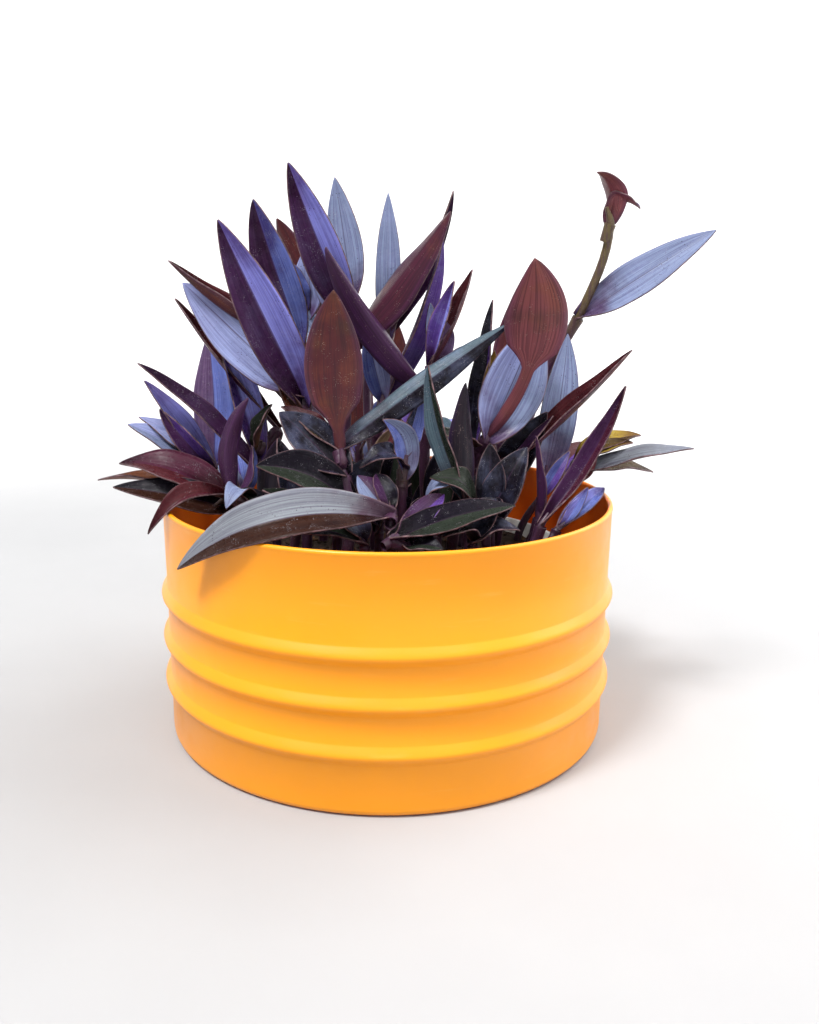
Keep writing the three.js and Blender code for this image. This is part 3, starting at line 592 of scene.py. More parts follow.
# ---------------------------------------------------------------- material helpers
class Finish:
    """A material under construction, with short calls for the nodes that these use."""

    def __init__(self, name):
        self.material = bpy.data.materials.new(name)
        self.material.use_nodes = True
        self.tree = self.material.node_tree
        self.shader = self.tree.nodes["Principled BSDF"]

    def node(self, kind, **values):
        made = self.tree.nodes.new(kind)
        for key, value in values.items():
            setattr(made, key, value)
        return made

    def join(self, source, target):
        self.tree.links.new(source, target)

    def set(self, values):
        for key, value in values.items():
            self.shader.inputs[key].default_value = value

    def place(self):
        return self.node("ShaderNodeTexCoord").outputs["Object"]

    def stretched(self, vector, scale):
        mapping = self.node("ShaderNodeMapping")
        mapping.inputs["Scale"].default_value = scale
        self.join(vector, mapping.inputs["Vector"])
        return mapping.outputs["Vector"]

    def noise(self, vector, scale, detail=4.0, roughness=0.55):
        noise = self.node("ShaderNodeTexNoise")
        noise.inputs["Scale"].default_value = scale
        noise.inputs["Detail"].default_value = detail
        noise.inputs["Roughness"].default_value = roughness
        self.join(vector, noise.inputs["Vector"])
        return noise.outputs["Fac"]

    def value(self, name):
        """One of the leaf's own values, stored on its mesh."""
        return self.node("ShaderNodeAttribute", attribute_name=name).outputs["Fac"]

    def cells(self, vector, scale):
        cells = self.node("ShaderNodeTexVoronoi")
        cells.inputs["Scale"].default_value = scale
        self.join(vector, cells.inputs["Vector"])
        return cells.outputs["Distance"]

    def ranged(self, value, low, high, to_low=0.0, to_high=1.0):
        """Maps low to to_low and high to to_high, smoothly, and holds it outside them."""
        ranged = self.node("ShaderNodeMapRange", interpolation_type="SMOOTHSTEP")
        self.join(value, ranged.inputs["Value"])
        limits = {"From Min": low, "From Max": high, "To Min": to_low, "To Max": to_high}
        for key, limit in limits.items():
            ranged.inputs[key].default_value = limit
        return ranged.outputs["Result"]

    def maths(self, operation, first, second=None):
        made = self.node("ShaderNodeMath", operation=operation)
        for index, value in enumerate((first, second)):
            if value is None:
                continue
            if isinstance(value, (int, float)):
                made.inputs[index].default_value = value
            else:
                self.join(value, made.inputs[index])
        return made.outputs["Value"]

    def times(self, first, second):
        return self.maths("MULTIPLY", first, second)

    def mixed(self, factor, first, second, blend="MIX"):
        """Mixes two colours, each a socket or a plain colour."""
        mix = self.node("ShaderNodeMix", data_type="RGBA", blend_type=blend)
        colours = [socket for socket in mix.inputs if socket.type == "RGBA"]
        if isinstance(factor, (int, float)):
            mix.inputs["Factor"].default_value = factor
        else:
            self.join(factor, mix.inputs["Factor"])
        for socket, value in zip(colours, (first, second)):
            if isinstance(value, bpy.types.NodeSocket):
                self.join(value, socket)
            else:
                socket.default_value = (*value, 1.0)
        return next(socket for socket in mix.outputs if socket.type == "RGBA")

    def tint(self, name):
        return self.node("ShaderNodeAttribute", attribute_name=name).outputs["Color"]

    def across_and_along(self):
        """The leaf map's way across and way along, as two values from 0 to 1."""
        leaf_map = self.node("ShaderNodeUVMap", uv_map="leaf")
        split = self.node("ShaderNodeSeparateXYZ")
        self.join(leaf_map.outputs["UV"], split.inputs["Vector"])
        return split.outputs["X"], split.outputs["Y"]

    def from_rib(self, across):
        """The distance from the midrib, from 0 on it to 0.5 at the edge."""
        return self.maths("ABSOLUTE", self.maths("SUBTRACT", across, 0.5))

    def margined(self, from_rib, colour, settings):
        """Adds a leaf's thin pale margin to a colour."""
        margin = self.ranged(from_rib, *MARGIN, to_high=0.36)
        return self.mixed(margin, colour, tuple(settings.margin))

    def relief(self, height, depth, strength=1.0):
        bump = self.node("ShaderNodeBump")
        bump.inputs["Distance"].default_value = depth
        bump.inputs["Strength"].default_value = strength
        self.join(height, bump.inputs["Height"])
        self.join(bump.outputs["Normal"], self.shader.inputs["Normal"])

    def colour(self, socket):
        self.join(socket, self.shader.inputs["Base Color"])

    def roughness(self, socket):
        self.join(socket, self.shader.inputs["Roughness"])


def powder_coat(settings):
    """Satin powder coat: a fine orange-peel skin, cloudy by a shade, with faint rubs, and
    painted shade on the inside of the pot.
    """
    coat = Finish("powder_coat")
    place_on = coat.place()
    cloud = coat.ranged(coat.noise(place_on, 14), 0.3, 0.7)
    base = tuple(settings.coat)
    colour = coat.mixed(cloud, shaded(base, 0.95), base)
    rubs = coat.noise(coat.stretched(place_on, (30, 30, 260)), 1.0, 5)
    rubbed = coat.mixed(coat.ranged(rubs, 0.60, 0.78, 0.0, 0.10), colour, (0.95, 0.62, 0.22))
    # Painted shade: inside the inner face of the wall, the coat takes the deeper, redder inner
    # colour in place of the shade and bounced light there.
    from_axis = coat.node("ShaderNodeVectorMath", operation="LENGTH")
    coat.join(coat.stretched(place_on, (1, 1, 0)), from_axis.inputs[0])
    skin = settings.radius - settings.sheet
    inside = coat.ranged(from_axis.outputs["Value"], skin, skin + 0.5 * MM, 1.0, 0.0)
    coat.colour(coat.mixed(inside, rubbed, tuple(settings.inner_painted_shade)))
    coat.roughness(coat.ranged(coat.noise(place_on, 60), 0.3, 0.7, 0.34, 0.44))
    coat.set({"Specular IOR Level": 0.34, "Coat Weight": 0.20, "Coat Roughness": 0.20})
    coat.relief(coat.noise(place_on, 900, 3), 0.05 * MM, 0.5)
    return coat.material


def white_plastic(settings):
    """Matt nursery plastic with watering marks."""
    plastic = Finish("white_plastic")
    place_on = plastic.place()
    marks = plastic.ranged(plastic.noise(place_on, 45, 6), 0.45, 0.75)
    base = tuple(settings.plastic)
    plastic.colour(plastic.mixed(marks, base, shaded(base, 0.62)))
    plastic.roughness(plastic.ranged(plastic.noise(place_on, 150), 0.3, 0.7, 0.42, 0.58))
    plastic.relief(plastic.noise(place_on, 700), 0.04 * MM, 0.4)
    return plastic.material


def peat(settings):
    """Moist peat: nearly black, with brown fibres and a rough surface."""
    soil = Finish("peat")
    place_on = soil.place()
    fibres = soil.ranged(soil.noise(place_on, 260, 8, 0.7), 0.35, 0.7)
    base = tuple(settings.peat)
    soil.colour(soil.mixed(fibres, base, shaded(base, 3.2)))
    soil.set({"Roughness": 0.92, "Specular IOR Level": 0.2})
    soil.relief(soil.noise(place_on, 420, 8, 0.75), 0.8 * MM, 1.0)
    return soil.material


def bark(settings):
    """Bark chips: warm brown, grained along one way."""
    chip = Finish("bark")
    grain = chip.noise(chip.stretched(chip.place(), (90, 420, 420)), 1.0, 6)
    base = tuple(settings.bark)
    chip.colour(chip.mixed(chip.ranged(grain, 0.3, 0.7), shaded(base, 0.35), base))
    chip.set({"Roughness": 0.85, "Specular IOR Level": 0.25})
    chip.relief(grain, 0.3 * MM, 0.8)
    return chip.material


def leaf_veins(leaf, across, along, lines):
    """Fine parallel veins: streaks that run the length of a leaf and close at its ends."""
    streaks = leaf.node("ShaderNodeCombineXYZ")
    leaf.join(leaf.times(across, lines), streaks.inputs["X"])
    leaf.join(leaf.times(along, 1.6), streaks.inputs["Y"])
    leaf.join(leaf.value("seed"), streaks.inputs["Z"])
    return leaf.noise(streaks.outputs["Vector"], 1.0, 3, 0.6)


def leaf_dots(leaf, place_on, size, tint, dot):
    """Specks of one colour, gathered in cloudy patches."""
    specks = leaf.ranged(leaf.cells(place_on, size), 0.10, 0.22, 1.0, 0.0)
    sparse = leaf.ranged(leaf.noise(place_on, size * 0.15, 2), 0.50, 0.64)
    return leaf.mixed(leaf.times(specks, sparse), tint, dot)


def leaf_upper(settings):
    """The upper face: a left and a right tint, mostly a half in painted light and a half in
    painted shade, with a painted sheen that glows in the middle of the leaf and darkens towards
    its tip and base, partly the leaf's own deeper colour there, parallel veins, waxy bloom,
    specks left by water, and a thin pale margin."""
    leaf = Finish("leaf_upper")
    place_on = leaf.place()
    across, along = leaf.across_and_along()
    # Painted light and shade: each half takes its own tint, mostly a lit half and a shaded half
    # of the fold.
    right_side = leaf.ranged(across, 0.47, 0.53)
    tint = leaf.mixed(right_side, leaf.tint("left"), leaf.tint("right"))
    painted_tip_shade = leaf.value("painted_tip_shade")
    waxy = leaf.value("waxy")
    cloudy = leaf.ranged(leaf.noise(place_on, 75, 5, 0.62), 0.42, 0.70, 0.0, 0.25)
    tint = leaf.mixed(leaf.times(cloudy, waxy), tint, tuple(settings.bloom))
    mottle = leaf.ranged(leaf_veins(leaf, across, along, 15), 0.42, 0.60, 0.0, 0.38)
    tint = leaf.mixed(mottle, tint, (0.40, 0.34, 0.46), "MULTIPLY")
    # Painted sheen: the middle of the leaf keeps its lit tints, and the tip and base are
    # darkened as painted shade where the sheen fades, partly the leaf's own deeper colour there.
    drift = leaf.times(leaf.maths("SUBTRACT", leaf.noise(place_on, 40, 3), 0.5), 1.1)
    spread = leaf.maths("ADD", along, drift)
    tip = leaf.times(leaf.ranged(spread, 0.52, 0.98, 0.0, 0.9), painted_tip_shade)
    tint = leaf.mixed(tip, tint, (0.36, 0.20, 0.30), "MULTIPLY")
    base_darkening = leaf.ranged(spread, 0.02, 0.34, 0.9, 0.0)
    tint = leaf.mixed(base_darkening, tint, (0.36, 0.14, 0.22), "MULTIPLY")
    veins = leaf_veins(leaf, across, along, 52)
    lines = leaf.ranged(veins, 0.36, 0.60, 0.50, 0.0)
    tint = leaf.mixed(lines, tint, (0.42, 0.34, 0.46), "MULTIPLY")
    scuffs = leaf.ranged(leaf_veins(leaf, across, along, 21), 0.58, 0.74, 0.0, 0.14)
    tint = leaf.mixed(leaf.times(scuffs, waxy), tint, (0.40, 0.44, 0.62))
    tint = leaf_dots(leaf, place_on, 1500, tint, (0.42, 0.40, 0.44))
    tint = leaf_dots(leaf, place_on, 700, tint, (0.030, 0.012, 0.020))
    from_rib = leaf.from_rib(across)
    rib = leaf.ranged(from_rib, 0.004, 0.018, 0.6, 0.0)
    tint = leaf.mixed(rib, tint, (0.045, 0.018, 0.045))
    leaf.colour(leaf.margined(from_rib, tint, settings))
    leaf.roughness(leaf.ranged(leaf.noise(place_on, 240, 3), 0.3, 0.7, 0.20, 0.36))
    leaf.join(leaf.ranged(waxy, 0.0, 1.0, 0.09, 0.17), leaf.shader.inputs["Specular IOR Level"])
    leaf.relief(veins, 0.25 * MM, 0.6)
    return leaf.material


def leaf_under(settings):
    """The underside: dark ribbing on red-brown and olive, with painted glints of light shining
    through it, purple sides and a glossy skin.
    """
    leaf = Finish("leaf_under")
    place_on = leaf.place()
    across, along = leaf.across_and_along()
    from_rib = leaf.from_rib(across)
    tint = leaf.tint("under")
    glint_and_olive = leaf.value("glint_and_olive")
    # Painted light: red-orange glints, as of light shining through the thin leaf.
    glow = leaf.ranged(leaf.noise(place_on, 46, 4), 0.46, 0.72, 0.0, 0.55)
    tint = leaf.mixed(leaf.times(glow, glint_and_olive), tint, (0.19, 0.055, 0.025))
    green = leaf.ranged(leaf.noise(place_on, 31, 3), 0.50, 0.72, 0.0, 0.6)
    tint = leaf.mixed(leaf.times(green, glint_and_olive), tint, (0.040, 0.032, 0.018))
    purple_side = leaf.ranged(from_rib, 0.30, 0.48, 0.0, 0.30)
    tint = leaf.mixed(purple_side, tint, (0.060, 0.024, 0.095))
    veins = leaf_veins(leaf, across, along, 34)
    tint = leaf.mixed(leaf.ranged(veins, 0.42, 0.62, 0.0, 0.55), tint, (0.024, 0.011, 0.018))
    tint = leaf_dots(leaf, place_on, 1500, tint, (0.36, 0.26, 0.22))
    base_darkening = leaf.ranged(along, 0.0, 0.24, 0.6, 0.0)
    tint = leaf.mixed(base_darkening, tint, (0.040, 0.014, 0.034))
    leaf.colour(leaf.margined(from_rib, tint, settings))
    leaf.roughness(leaf.ranged(leaf.noise(place_on, 240, 3), 0.3, 0.7, 0.28, 0.44))
    leaf.set({"Specular IOR Level": 0.18})
    leaf.relief(veins, 0.3 * MM, 0.65)
    return leaf.material


def leaf_edge(settings):
    """The cut of the edge: pale, as fine hairs catch the light there."""
    edge = Finish("leaf_edge")
    mottle = edge.ranged(edge.noise(edge.place(), 320, 3), 0.35, 0.7)
    base = tuple(settings.margin)
    edge.colour(edge.mixed(mottle, shaded(base, 0.30), base))
    edge.set({"Roughness": 0.55, "Specular IOR Level": 0.2})
    return edge.material


def stem_skin(settings):
    """Fleshy stems: purple with olive flushes and fine lines along them."""
    stem = Finish("stem_skin")
    place_on = stem.place()
    base = tuple(settings.stalk)
    flush = stem.ranged(stem.noise(place_on, 24, 3), 0.48, 0.72, 0.0, 0.7)
    tint = stem.mixed(flush, base, (0.085, 0.060, 0.024))
    # Darker just above the mix, as painted shade under the leaves and partly as older stems,
    # and young and green high up, by height in metres.
    height = stem.node("ShaderNodeSeparateXYZ")
    stem.join(place_on, height.inputs["Vector"])
    painted_low_shade = stem.ranged(height.outputs["Z"], 0.105, 0.150, 0.75, 0.0)
    tint = stem.mixed(painted_low_shade, tint, (0.30, 0.30, 0.30), "MULTIPLY")
    young = stem.ranged(height.outputs["Z"], 0.190, 0.235, 0.0, 0.85)
    tint = stem.mixed(young, tint, (0.115, 0.085, 0.026))
    lines = stem.noise(stem.stretched(place_on, (900, 900, 45)), 1.0, 3)
    tint = stem.mixed(stem.ranged(lines, 0.4, 0.65, 0.0, 0.55), tint, (0.05, 0.016, 0.045))
    dots = stem.ranged(stem.cells(place_on, 1100), 0.10, 0.20, 0.5, 0.0)
    stem.colour(stem.mixed(dots, tint, (0.30, 0.20, 0.26)))
    stem.roughness(stem.ranged(stem.noise(place_on, 200), 0.3, 0.7, 0.34, 0.48))
    stem.set({"Specular IOR Level": 0.38})
    stem.relief(lines, 0.12 * MM, 0.5)
    return stem.material


def studio_paint(studio):
    """Matt paint that pales from the floor to the far wall."""
    paint = Finish("studio_paint")
    place_on = paint.place()
    from_pot = paint.node("ShaderNodeVectorMath", operation="LENGTH")
    paint.join(place_on, from_pot.inputs[0])
    far = paint.ranged(from_pot.outputs["Value"], 0.45, 1.7)
    tint = paint.mixed(far, tuple(studio.floor), tuple(studio.wall))
    grain = paint.ranged(paint.noise(place_on, 6), 0.3, 0.7)
    paint.colour(paint.mixed(paint.times(grain, 0.03), tint, tuple(studio.wall)))
    paint.set({"Roughness": 0.9, "Specular IOR Level": 0.1})
    return paint.material


# ---------------------------------------------------------------- leaves and stems
def seen(x, z, depth):
    """A place in millimetres, from how it is seen and its depth behind the pot's axis."""
    reach = (depth - EYE.y) / -EYE.y
    return Vector((EYE.x + (x - EYE.x) * reach, depth, EYE.z + (z - EYE.z) * reach))


def outline(along, neck):
    """Half of a leaf's width along it, as a share of the widest half: lance-shaped."""
    if along < neck:
        return NECK_WIDTH
    lance = (along - neck) / (1 - neck)
    full = math.sin(math.pi * (LANCE_START + (1 - LANCE_START) * lance))
    full **= FULLNESS
    shoulder = min(1.0, lance / NECK_SHOULDER)
    return full if neck == 0 else NECK_WIDTH + (full - NECK_WIDTH) * shoulder


def neck_of(row):
    """The share of a leaf that is a stalk-like neck, where its row gives one."""
    return row[9] if len(row) > 9 else 0


class Leaf:
    """One leaf's settings, as its row in the table gives them, and the place of any point."""

    def __init__(self, row):
        base, tip, width, arch, sway, azimuth, elevation, fold, tints = row[:9]
        self.neck = neck_of(row)
        self.base = seen(*base)
        self.tip = seen(*tip)
        self.width = width
        self.fold = fold
        self.tints = [TINTS[word] for word in tints.split()]
        self.twist = 0.0
        self.lean = 0.0
        self.root = self.base
        self.chord = self.tip - self.base
        turn, lift = math.radians(azimuth), math.radians(elevation)
        facing = Vector(
            (math.sin(turn) * math.cos(lift), -math.cos(turn) * math.cos(lift), math.sin(lift))
        )
        along = self.chord.normalized()
        self.up = (facing - facing.dot(along) * along).normalized()
        self.bend = self.up * arch + along.cross(self.up) * sway

    def fold_at(self, along):
        closing = max(0.0, 1 - along / SHEATH_END)
        return math.radians(self.fold + (SHEATH_FOLD - self.fold) * closing * closing)

    def middle(self, along):
        """The midrib: bowed from base to tip, and led from the stem at its root."""
        leaving = max(0.0, 1 - along / ROOT_REACH)
        bowed = self.base + self.chord * along + self.bend * (4 * along * (1 - along))
        return bowed + (self.root - self.base) * leaving * leaving

    def heading(self, along):
        return (self.chord + self.bend * (4 * (1 - 2 * along))).normalized()

    def point(self, along, across, share, lift):
        """A point by its distance across, its share of the half width, and an edge's lift."""
        heading = self.heading(along)
        top = (self.up - self.up.dot(heading) * heading).normalized()
        top = Matrix.Rotation(self.twist * 2 * (along - SHEATH_END), 3, heading) @ top
        angle = self.fold_at(along)
        across *= 1 + math.copysign(self.lean, across)
        reach = across * math.cos(angle)
        trough = (1 - TROUGH) * abs(share) + TROUGH * share * share
        rise = abs(across) / max(abs(share), 0.01) * math.sin(angle) * trough + lift
        return self.middle(along) + heading.cross(top) * reach + top * rise


def leaf_blank(name, neck, finishes):
    """A flat leaf one unit long, drawn in row by row from a grid to its outline."""
    deselect()
    bpy.ops.mesh.primitive_grid_add(
        x_subdivisions=LEAF_COLUMNS, y_subdivisions=LEAF_ROWS, size=1, location=(0, 0.5, 0)
    )
    blank = fresh(name)
    settle(blank)
    blank.data.uv_layers[0].name = "leaf"
    bpy.ops.object.mode_set(mode="EDIT")
    mesh = bmesh.from_edit_mesh(blank.data)
    for row in range(LEAF_ROWS + 1):
        along = row / LEAF_ROWS
        width = max(outline(along, neck), LEAST_WIDTH)
        scale_level(mesh, 1, along, 0.4 / LEAF_ROWS, (width, 1, 1))
    bpy.ops.object.mode_set(mode="OBJECT")
    for finish in finishes:
        blank.data.materials.append(finish)
    smooth(blank, 60)
    return blank


def laid_leaf(blank, leaf, name, ripple, rng):
    """A copy of the blank, folded and bowed into one leaf's place, with its own tints."""
    piece = copied(blank, name)
    waves = rng.uniform(*LEAF_WAVES)
    phase = rng.uniform(0, 2 * math.pi)
    leaf.twist = math.radians(rng.uniform(-LEAF_TWIST, LEAF_TWIST))
    leaf.lean = rng.uniform(-LEAF_LEAN, LEAF_LEAN)
    for vertex in piece.data.vertices:
        along = vertex.co.y
        half = outline(along, leaf.neck) / 2
        share = clamped(vertex.co.x / half, -1.0) if half > LEAST_WIDTH else 0.0
        wave = math.sin(2 * math.pi * waves * along + phase + (share > 0))
        lift = ripple / MM * wave * share * share * math.sin(math.pi * along)
        vertex.co = leaf.point(along, vertex.co.x * leaf.width, share, lift) * MM
    # The left and right tints are mostly painted light and painted shade on the two halves.
    for label, tint in zip(("left", "right", "under"), leaf.tints):
        layer = piece.data.attributes.new(label, "FLOAT_COLOR", "POINT")
        layer.data.foreach_set("color", [*tint, 1.0] * len(piece.data.vertices))
    vivid = min((max(tint) - min(tint)) / max(tint) for tint in leaf.tints[:2])
    cool = min((tint[2] - tint[0]) / max(tint) for tint in leaf.tints[:2])
    red, _, blue = leaf.tints[2]
    values = {
        "seed": rng.uniform(0, 40),  # where in the noise the leaf's veins are taken
        "painted_tip_shade": clamped((vivid - 0.48) / 0.1),  # how far its tip darkens: not on grey leaves
        "glint_and_olive": clamped(2 * (red - blue) / red),  # how strongly its underside takes painted glints of light shining through, and olive patches
        "waxy": clamped(2 * cool),  # how much bloom it carries: more on blue leaves
    }
    for label, value in values.items():
        layer = piece.data.attributes.new(label, "FLOAT", "POINT")
        layer.data.foreach_set("value", [value] * len(piece.data.vertices))
    return piece


def stem_places(root, leaves, top):
    """The places that a stem's line passes: upright from the mix, then each leaf's base."""
    x, y = root
    places = [Vector((x, y, top / MM + rise)) for rise in (-STEM_DEPTH, STEM_RISE)]
    for leaf in leaves:
        if (leaf.base - places[-1]).length > BASE_GAP:
            places.append(leaf.base)
    last = leaves[-1]
    places.append(last.base + last.chord.normalized() * STEM_OVER)
    return places


def nearest_on(places, point):
    """The place on a line of points that is nearest to a point, and the line's way there."""
    best = None
    for first, second in zip(places, places[1:]):
        way = second - first
        share = clamped((point - first).dot(way) / way.length_squared)
        place_on = first + way * share
        distance = (place_on - point).length
        if best is None or distance < best[0]:
            best = (distance, place_on, way.normalized())
    return best[1], best[2]


def stem_tube(name, places, radius, finish):
    """A round stem that tapers upwards, as a bevelled curve made into a mesh."""
    deselect()
    bpy.ops.curve.primitive_bezier_curve_add()
    made = fresh(name)
    curve = made.data
    spline = curve.splines[0]
    spline.bezier_points.add(len(places) - len(spline.bezier_points))
    for index, (point, place_on) in enumerate(zip(spline.bezier_points, places)):
        point.co = place_on * MM
        point.handle_left_type = point.handle_right_type = "AUTO"
        point.radius = 1.0 - STEM_TAPER * index / (len(places) - 1)
    spline.bezier_points[-1].radius = STEM_TIP
    curve.bevel_depth = radius * MM
    curve.bevel_resolution = 3
    curve.resolution_u = 8
    curve.use_fill_caps = True
    curve.materials.append(finish)
    take(made)
    bpy.ops.object.convert(target="MESH")
    made = bpy.context.object
    bpy.ops.object.shade_smooth()
    return made


def sleeve_blank(name, finish):
    """An open sleeve one unit long and one unit in radius, a little wider at its mouth."""
    deselect()
    bpy.ops.mesh.primitive_cylinder_add(
        vertices=14, radius=1, depth=1, end_fill_type="NOTHING", location=(0, 0, 0.5)
    )
    blank = fresh(name)
    settle(blank)
    bpy.ops.object.mode_set(mode="EDIT")
    bpy.ops.mesh.select_all(action="SELECT")
    bpy.ops.mesh.subdivide(number_cuts=1)
    mesh = bmesh.from_edit_mesh(blank.data)
    for end, width in ((1, SLEEVE_MOUTH), (0, SLEEVE_FOOT)):
        scale_level(mesh, 2, end, 0.1, (width, width, 1))
    bpy.ops.object.mode_set(mode="OBJECT")
    finish_with(blank, "SOLIDIFY", thickness=SLEEVE_WALL, offset=-1)
    blank.data.materials.append(finish)
    smooth(blank, 60)
    return blank


def laid_sleeve(blank, name, place_on, way, radius, length):
    """A copy of the sleeve round a stem, its mouth at a leaf's base."""
    piece = copied(blank, name)
    turn = way.to_track_quat("Z", "Y").to_matrix().to_4x4()
    size = Matrix.Diagonal((radius * MM, radius * MM, length, 1))
    foot = Matrix.Translation(place_on * MM - way * length)
    piece.data.transform(foot @ turn @ size)
    return piece


class PlantMaker:
    """Holds what all stems share: the settings, the finishes and the blanks."""

    def __init__(self, settings, mix_top):
        self.settings = settings
        self.mix_top = mix_top
        leaf_finishes = [leaf_upper(settings), leaf_under(settings), leaf_edge(settings)]
        self.skin = stem_skin(settings)
        necks = sorted({neck_of(row) for _, _, rows in STEMS.values() for row in rows})
        self.blanks = {
            neck: leaf_blank(f"leaf_blank_{neck}", neck, leaf_finishes) for neck in necks
        }
        self.sleeve = sleeve_blank("sleeve_blank", self.skin)

    def leafy_stem(self, node, root, radius, rows):
        """One stem with its sleeves and leaves, as one piece in the place of its solid."""
        rng = random.Random(node)
        leaves = [Leaf(row) for row in rows]
        places = stem_places(root, leaves, self.mix_top)
        blades, tubes = [], [stem_tube(f"{node}_tube", places, radius, self.skin)]
        for index, leaf in enumerate(leaves):
            leaf.root, way = nearest_on(places, leaf.base)
            name = f"{node}_{index}"
            blank = self.blanks[leaf.neck]
            blades.append(laid_leaf(blank, leaf, name, self.settings.ripple, rng))
            if any((leaf.root - lower.root).length <= NODE_GAP for lower in leaves[:index]):
                continue
            grown = radius * (SLEEVE_EASE - SLEEVE_TAPER * index / len(leaves))
            reach = self.settings.sleeve
            tubes.append(
                laid_sleeve(self.sleeve, f"{name}_sleeve", leaf.root, way, grown, reach)
            )
        foliage = joined(blades, f"{node}_leaves")
        finish_with(
            foliage,
            "SOLIDIFY",
            thickness=self.settings.blade,
            offset=-1,
            material_offset=1,
            material_offset_rim=2,
        )
        stalk = joined(tubes, f"{node}_stalk")
        piece = joined([stalk, foliage], f"leafy_{node}")
        place(piece, "purple_leaf", node)
        return piece

    def clear(self):
        for blank in (*self.blanks.values(), self.sleeve):
            discard(blank)


# ---------------------------------------------------------------- operators
class BuildPot(bpy.types.Operator):
    """Spins the ribbed metal pot, and gives it its powder coat"""

    bl_idname = "purple_heart.pot"
    bl_label = "Ribbed Pot"

    def execute(self, context):
        pot = context.scene.pot_settings
        inside = pot.radius - pot.sheet
        ribs = self.ribs(pot)
        rim = arc((pot.radius - 0.5 * pot.bead, pot.height - pot.bead), pot.bead, -40, 220, 14)
        corner = arc((pot.radius - pot.edge_round, pot.edge_round), pot.edge_round, -90, 0, 6)
        inner_corner = arc(
            (inside - pot.edge_round, pot.edge_round + pot.sheet), pot.edge_round, 0, -90, 6
        )
        profile = [
            (0, 0),
            *corner,
            *ribs,
            *rim,
            *[(radius - pot.sheet, height) for radius, height in reversed(ribs)],
            *inner_corner,
            (0, pot.sheet),
        ]
        piece = spun("ribbed_pot", profile, pot.steps)
        piece.data.materials.append(powder_coat(pot))
        smooth(piece, 40)
        place(piece, "powder_coat", "metal_pot")
        return {"FINISHED"}

    @staticmethod
    def ribs(pot):
        """The wall's profile through its ribs, with straight flanks and rounded crests."""
        foot = math.hypot(1, pot.rib_crest)
        points = []
        for middle in pot.rib_heights:
            for step in range(-RIB_STEPS, RIB_STEPS + 1):
                share = step / RIB_STEPS
                proud = (foot - math.hypot(share, pot.rib_crest)) / (foot - pot.rib_crest)
                height = middle + share * pot.rib_half_width
                points.append((pot.radius + pot.rib_proud * proud, height))
        return points


class BuildGrowPot(bpy.types.Operator):
    """Spins the plastic grow pot and cuts its drain holes"""

    bl_idname = "purple_heart.grow_pot"
    bl_label = "Grow Pot"

    def execute(self, context):
        pot = context.scene.grow_pot_settings
        foot, top = GROW_LOW.z, GROW_HIGH.z
        wall_top = pot.lip_radius - pot.lip_proud
        lip_foot = top - pot.lip_drop
        share = (lip_foot - foot) / (top - foot)
        under_lip = pot.floor_radius + (wall_top - pot.floor_radius) * share
        inner_foot, inner_floor = pot.floor_radius - pot.wall, foot + pot.wall
        cut, soft = 1.5 * MM, 1.2 * MM  # the cut at the floor's edge, the lip's rounding
        profile = [
            (0, foot),
            (pot.floor_radius - cut, foot),
            (pot.floor_radius, foot + cut),
            (under_lip, lip_foot),
            (pot.lip_radius - soft / 3, lip_foot + soft / 2),
            (pot.lip_radius, lip_foot + soft),
            *arc((pot.lip_radius - soft, top - soft), soft, 0, 90, 4),
            (wall_top - pot.wall + soft / 3, top),
            (wall_top - pot.wall, top - soft / 2),
            (inner_foot, inner_floor + cut / 3),
            (inner_foot - cut, inner_floor),
            (0, inner_floor),
        ]
        piece = spun("nursery_pot", profile, ROUND_STEPS)
        cutters = [self.drain(pot, index, foot) for index in range(pot.drains)]
        cutter = joined(cutters, "drain_cutter")
        finish_with(piece, "BOOLEAN", object=cutter, operation="DIFFERENCE", solver="EXACT")
        discard(cutter)
        piece.data.materials.append(white_plastic(pot))
        smooth(piece, 40)
        place(piece, "white_plastic", "grow_pot")
        return {"FINISHED"}

    @staticmethod
    def drain(pot, index, foot):
        turn = 2 * math.pi * index / pot.drains
        centre = (pot.drain_circle * math.cos(turn), pot.drain_circle * math.sin(turn), foot)
        deselect()
        bpy.ops.mesh.primitive_cylinder_add(
            vertices=32, radius=pot.drain_radius, depth=10 * MM, location=centre
        )
        made = fresh(f"drain_{index}")
        settle(made)
        return made


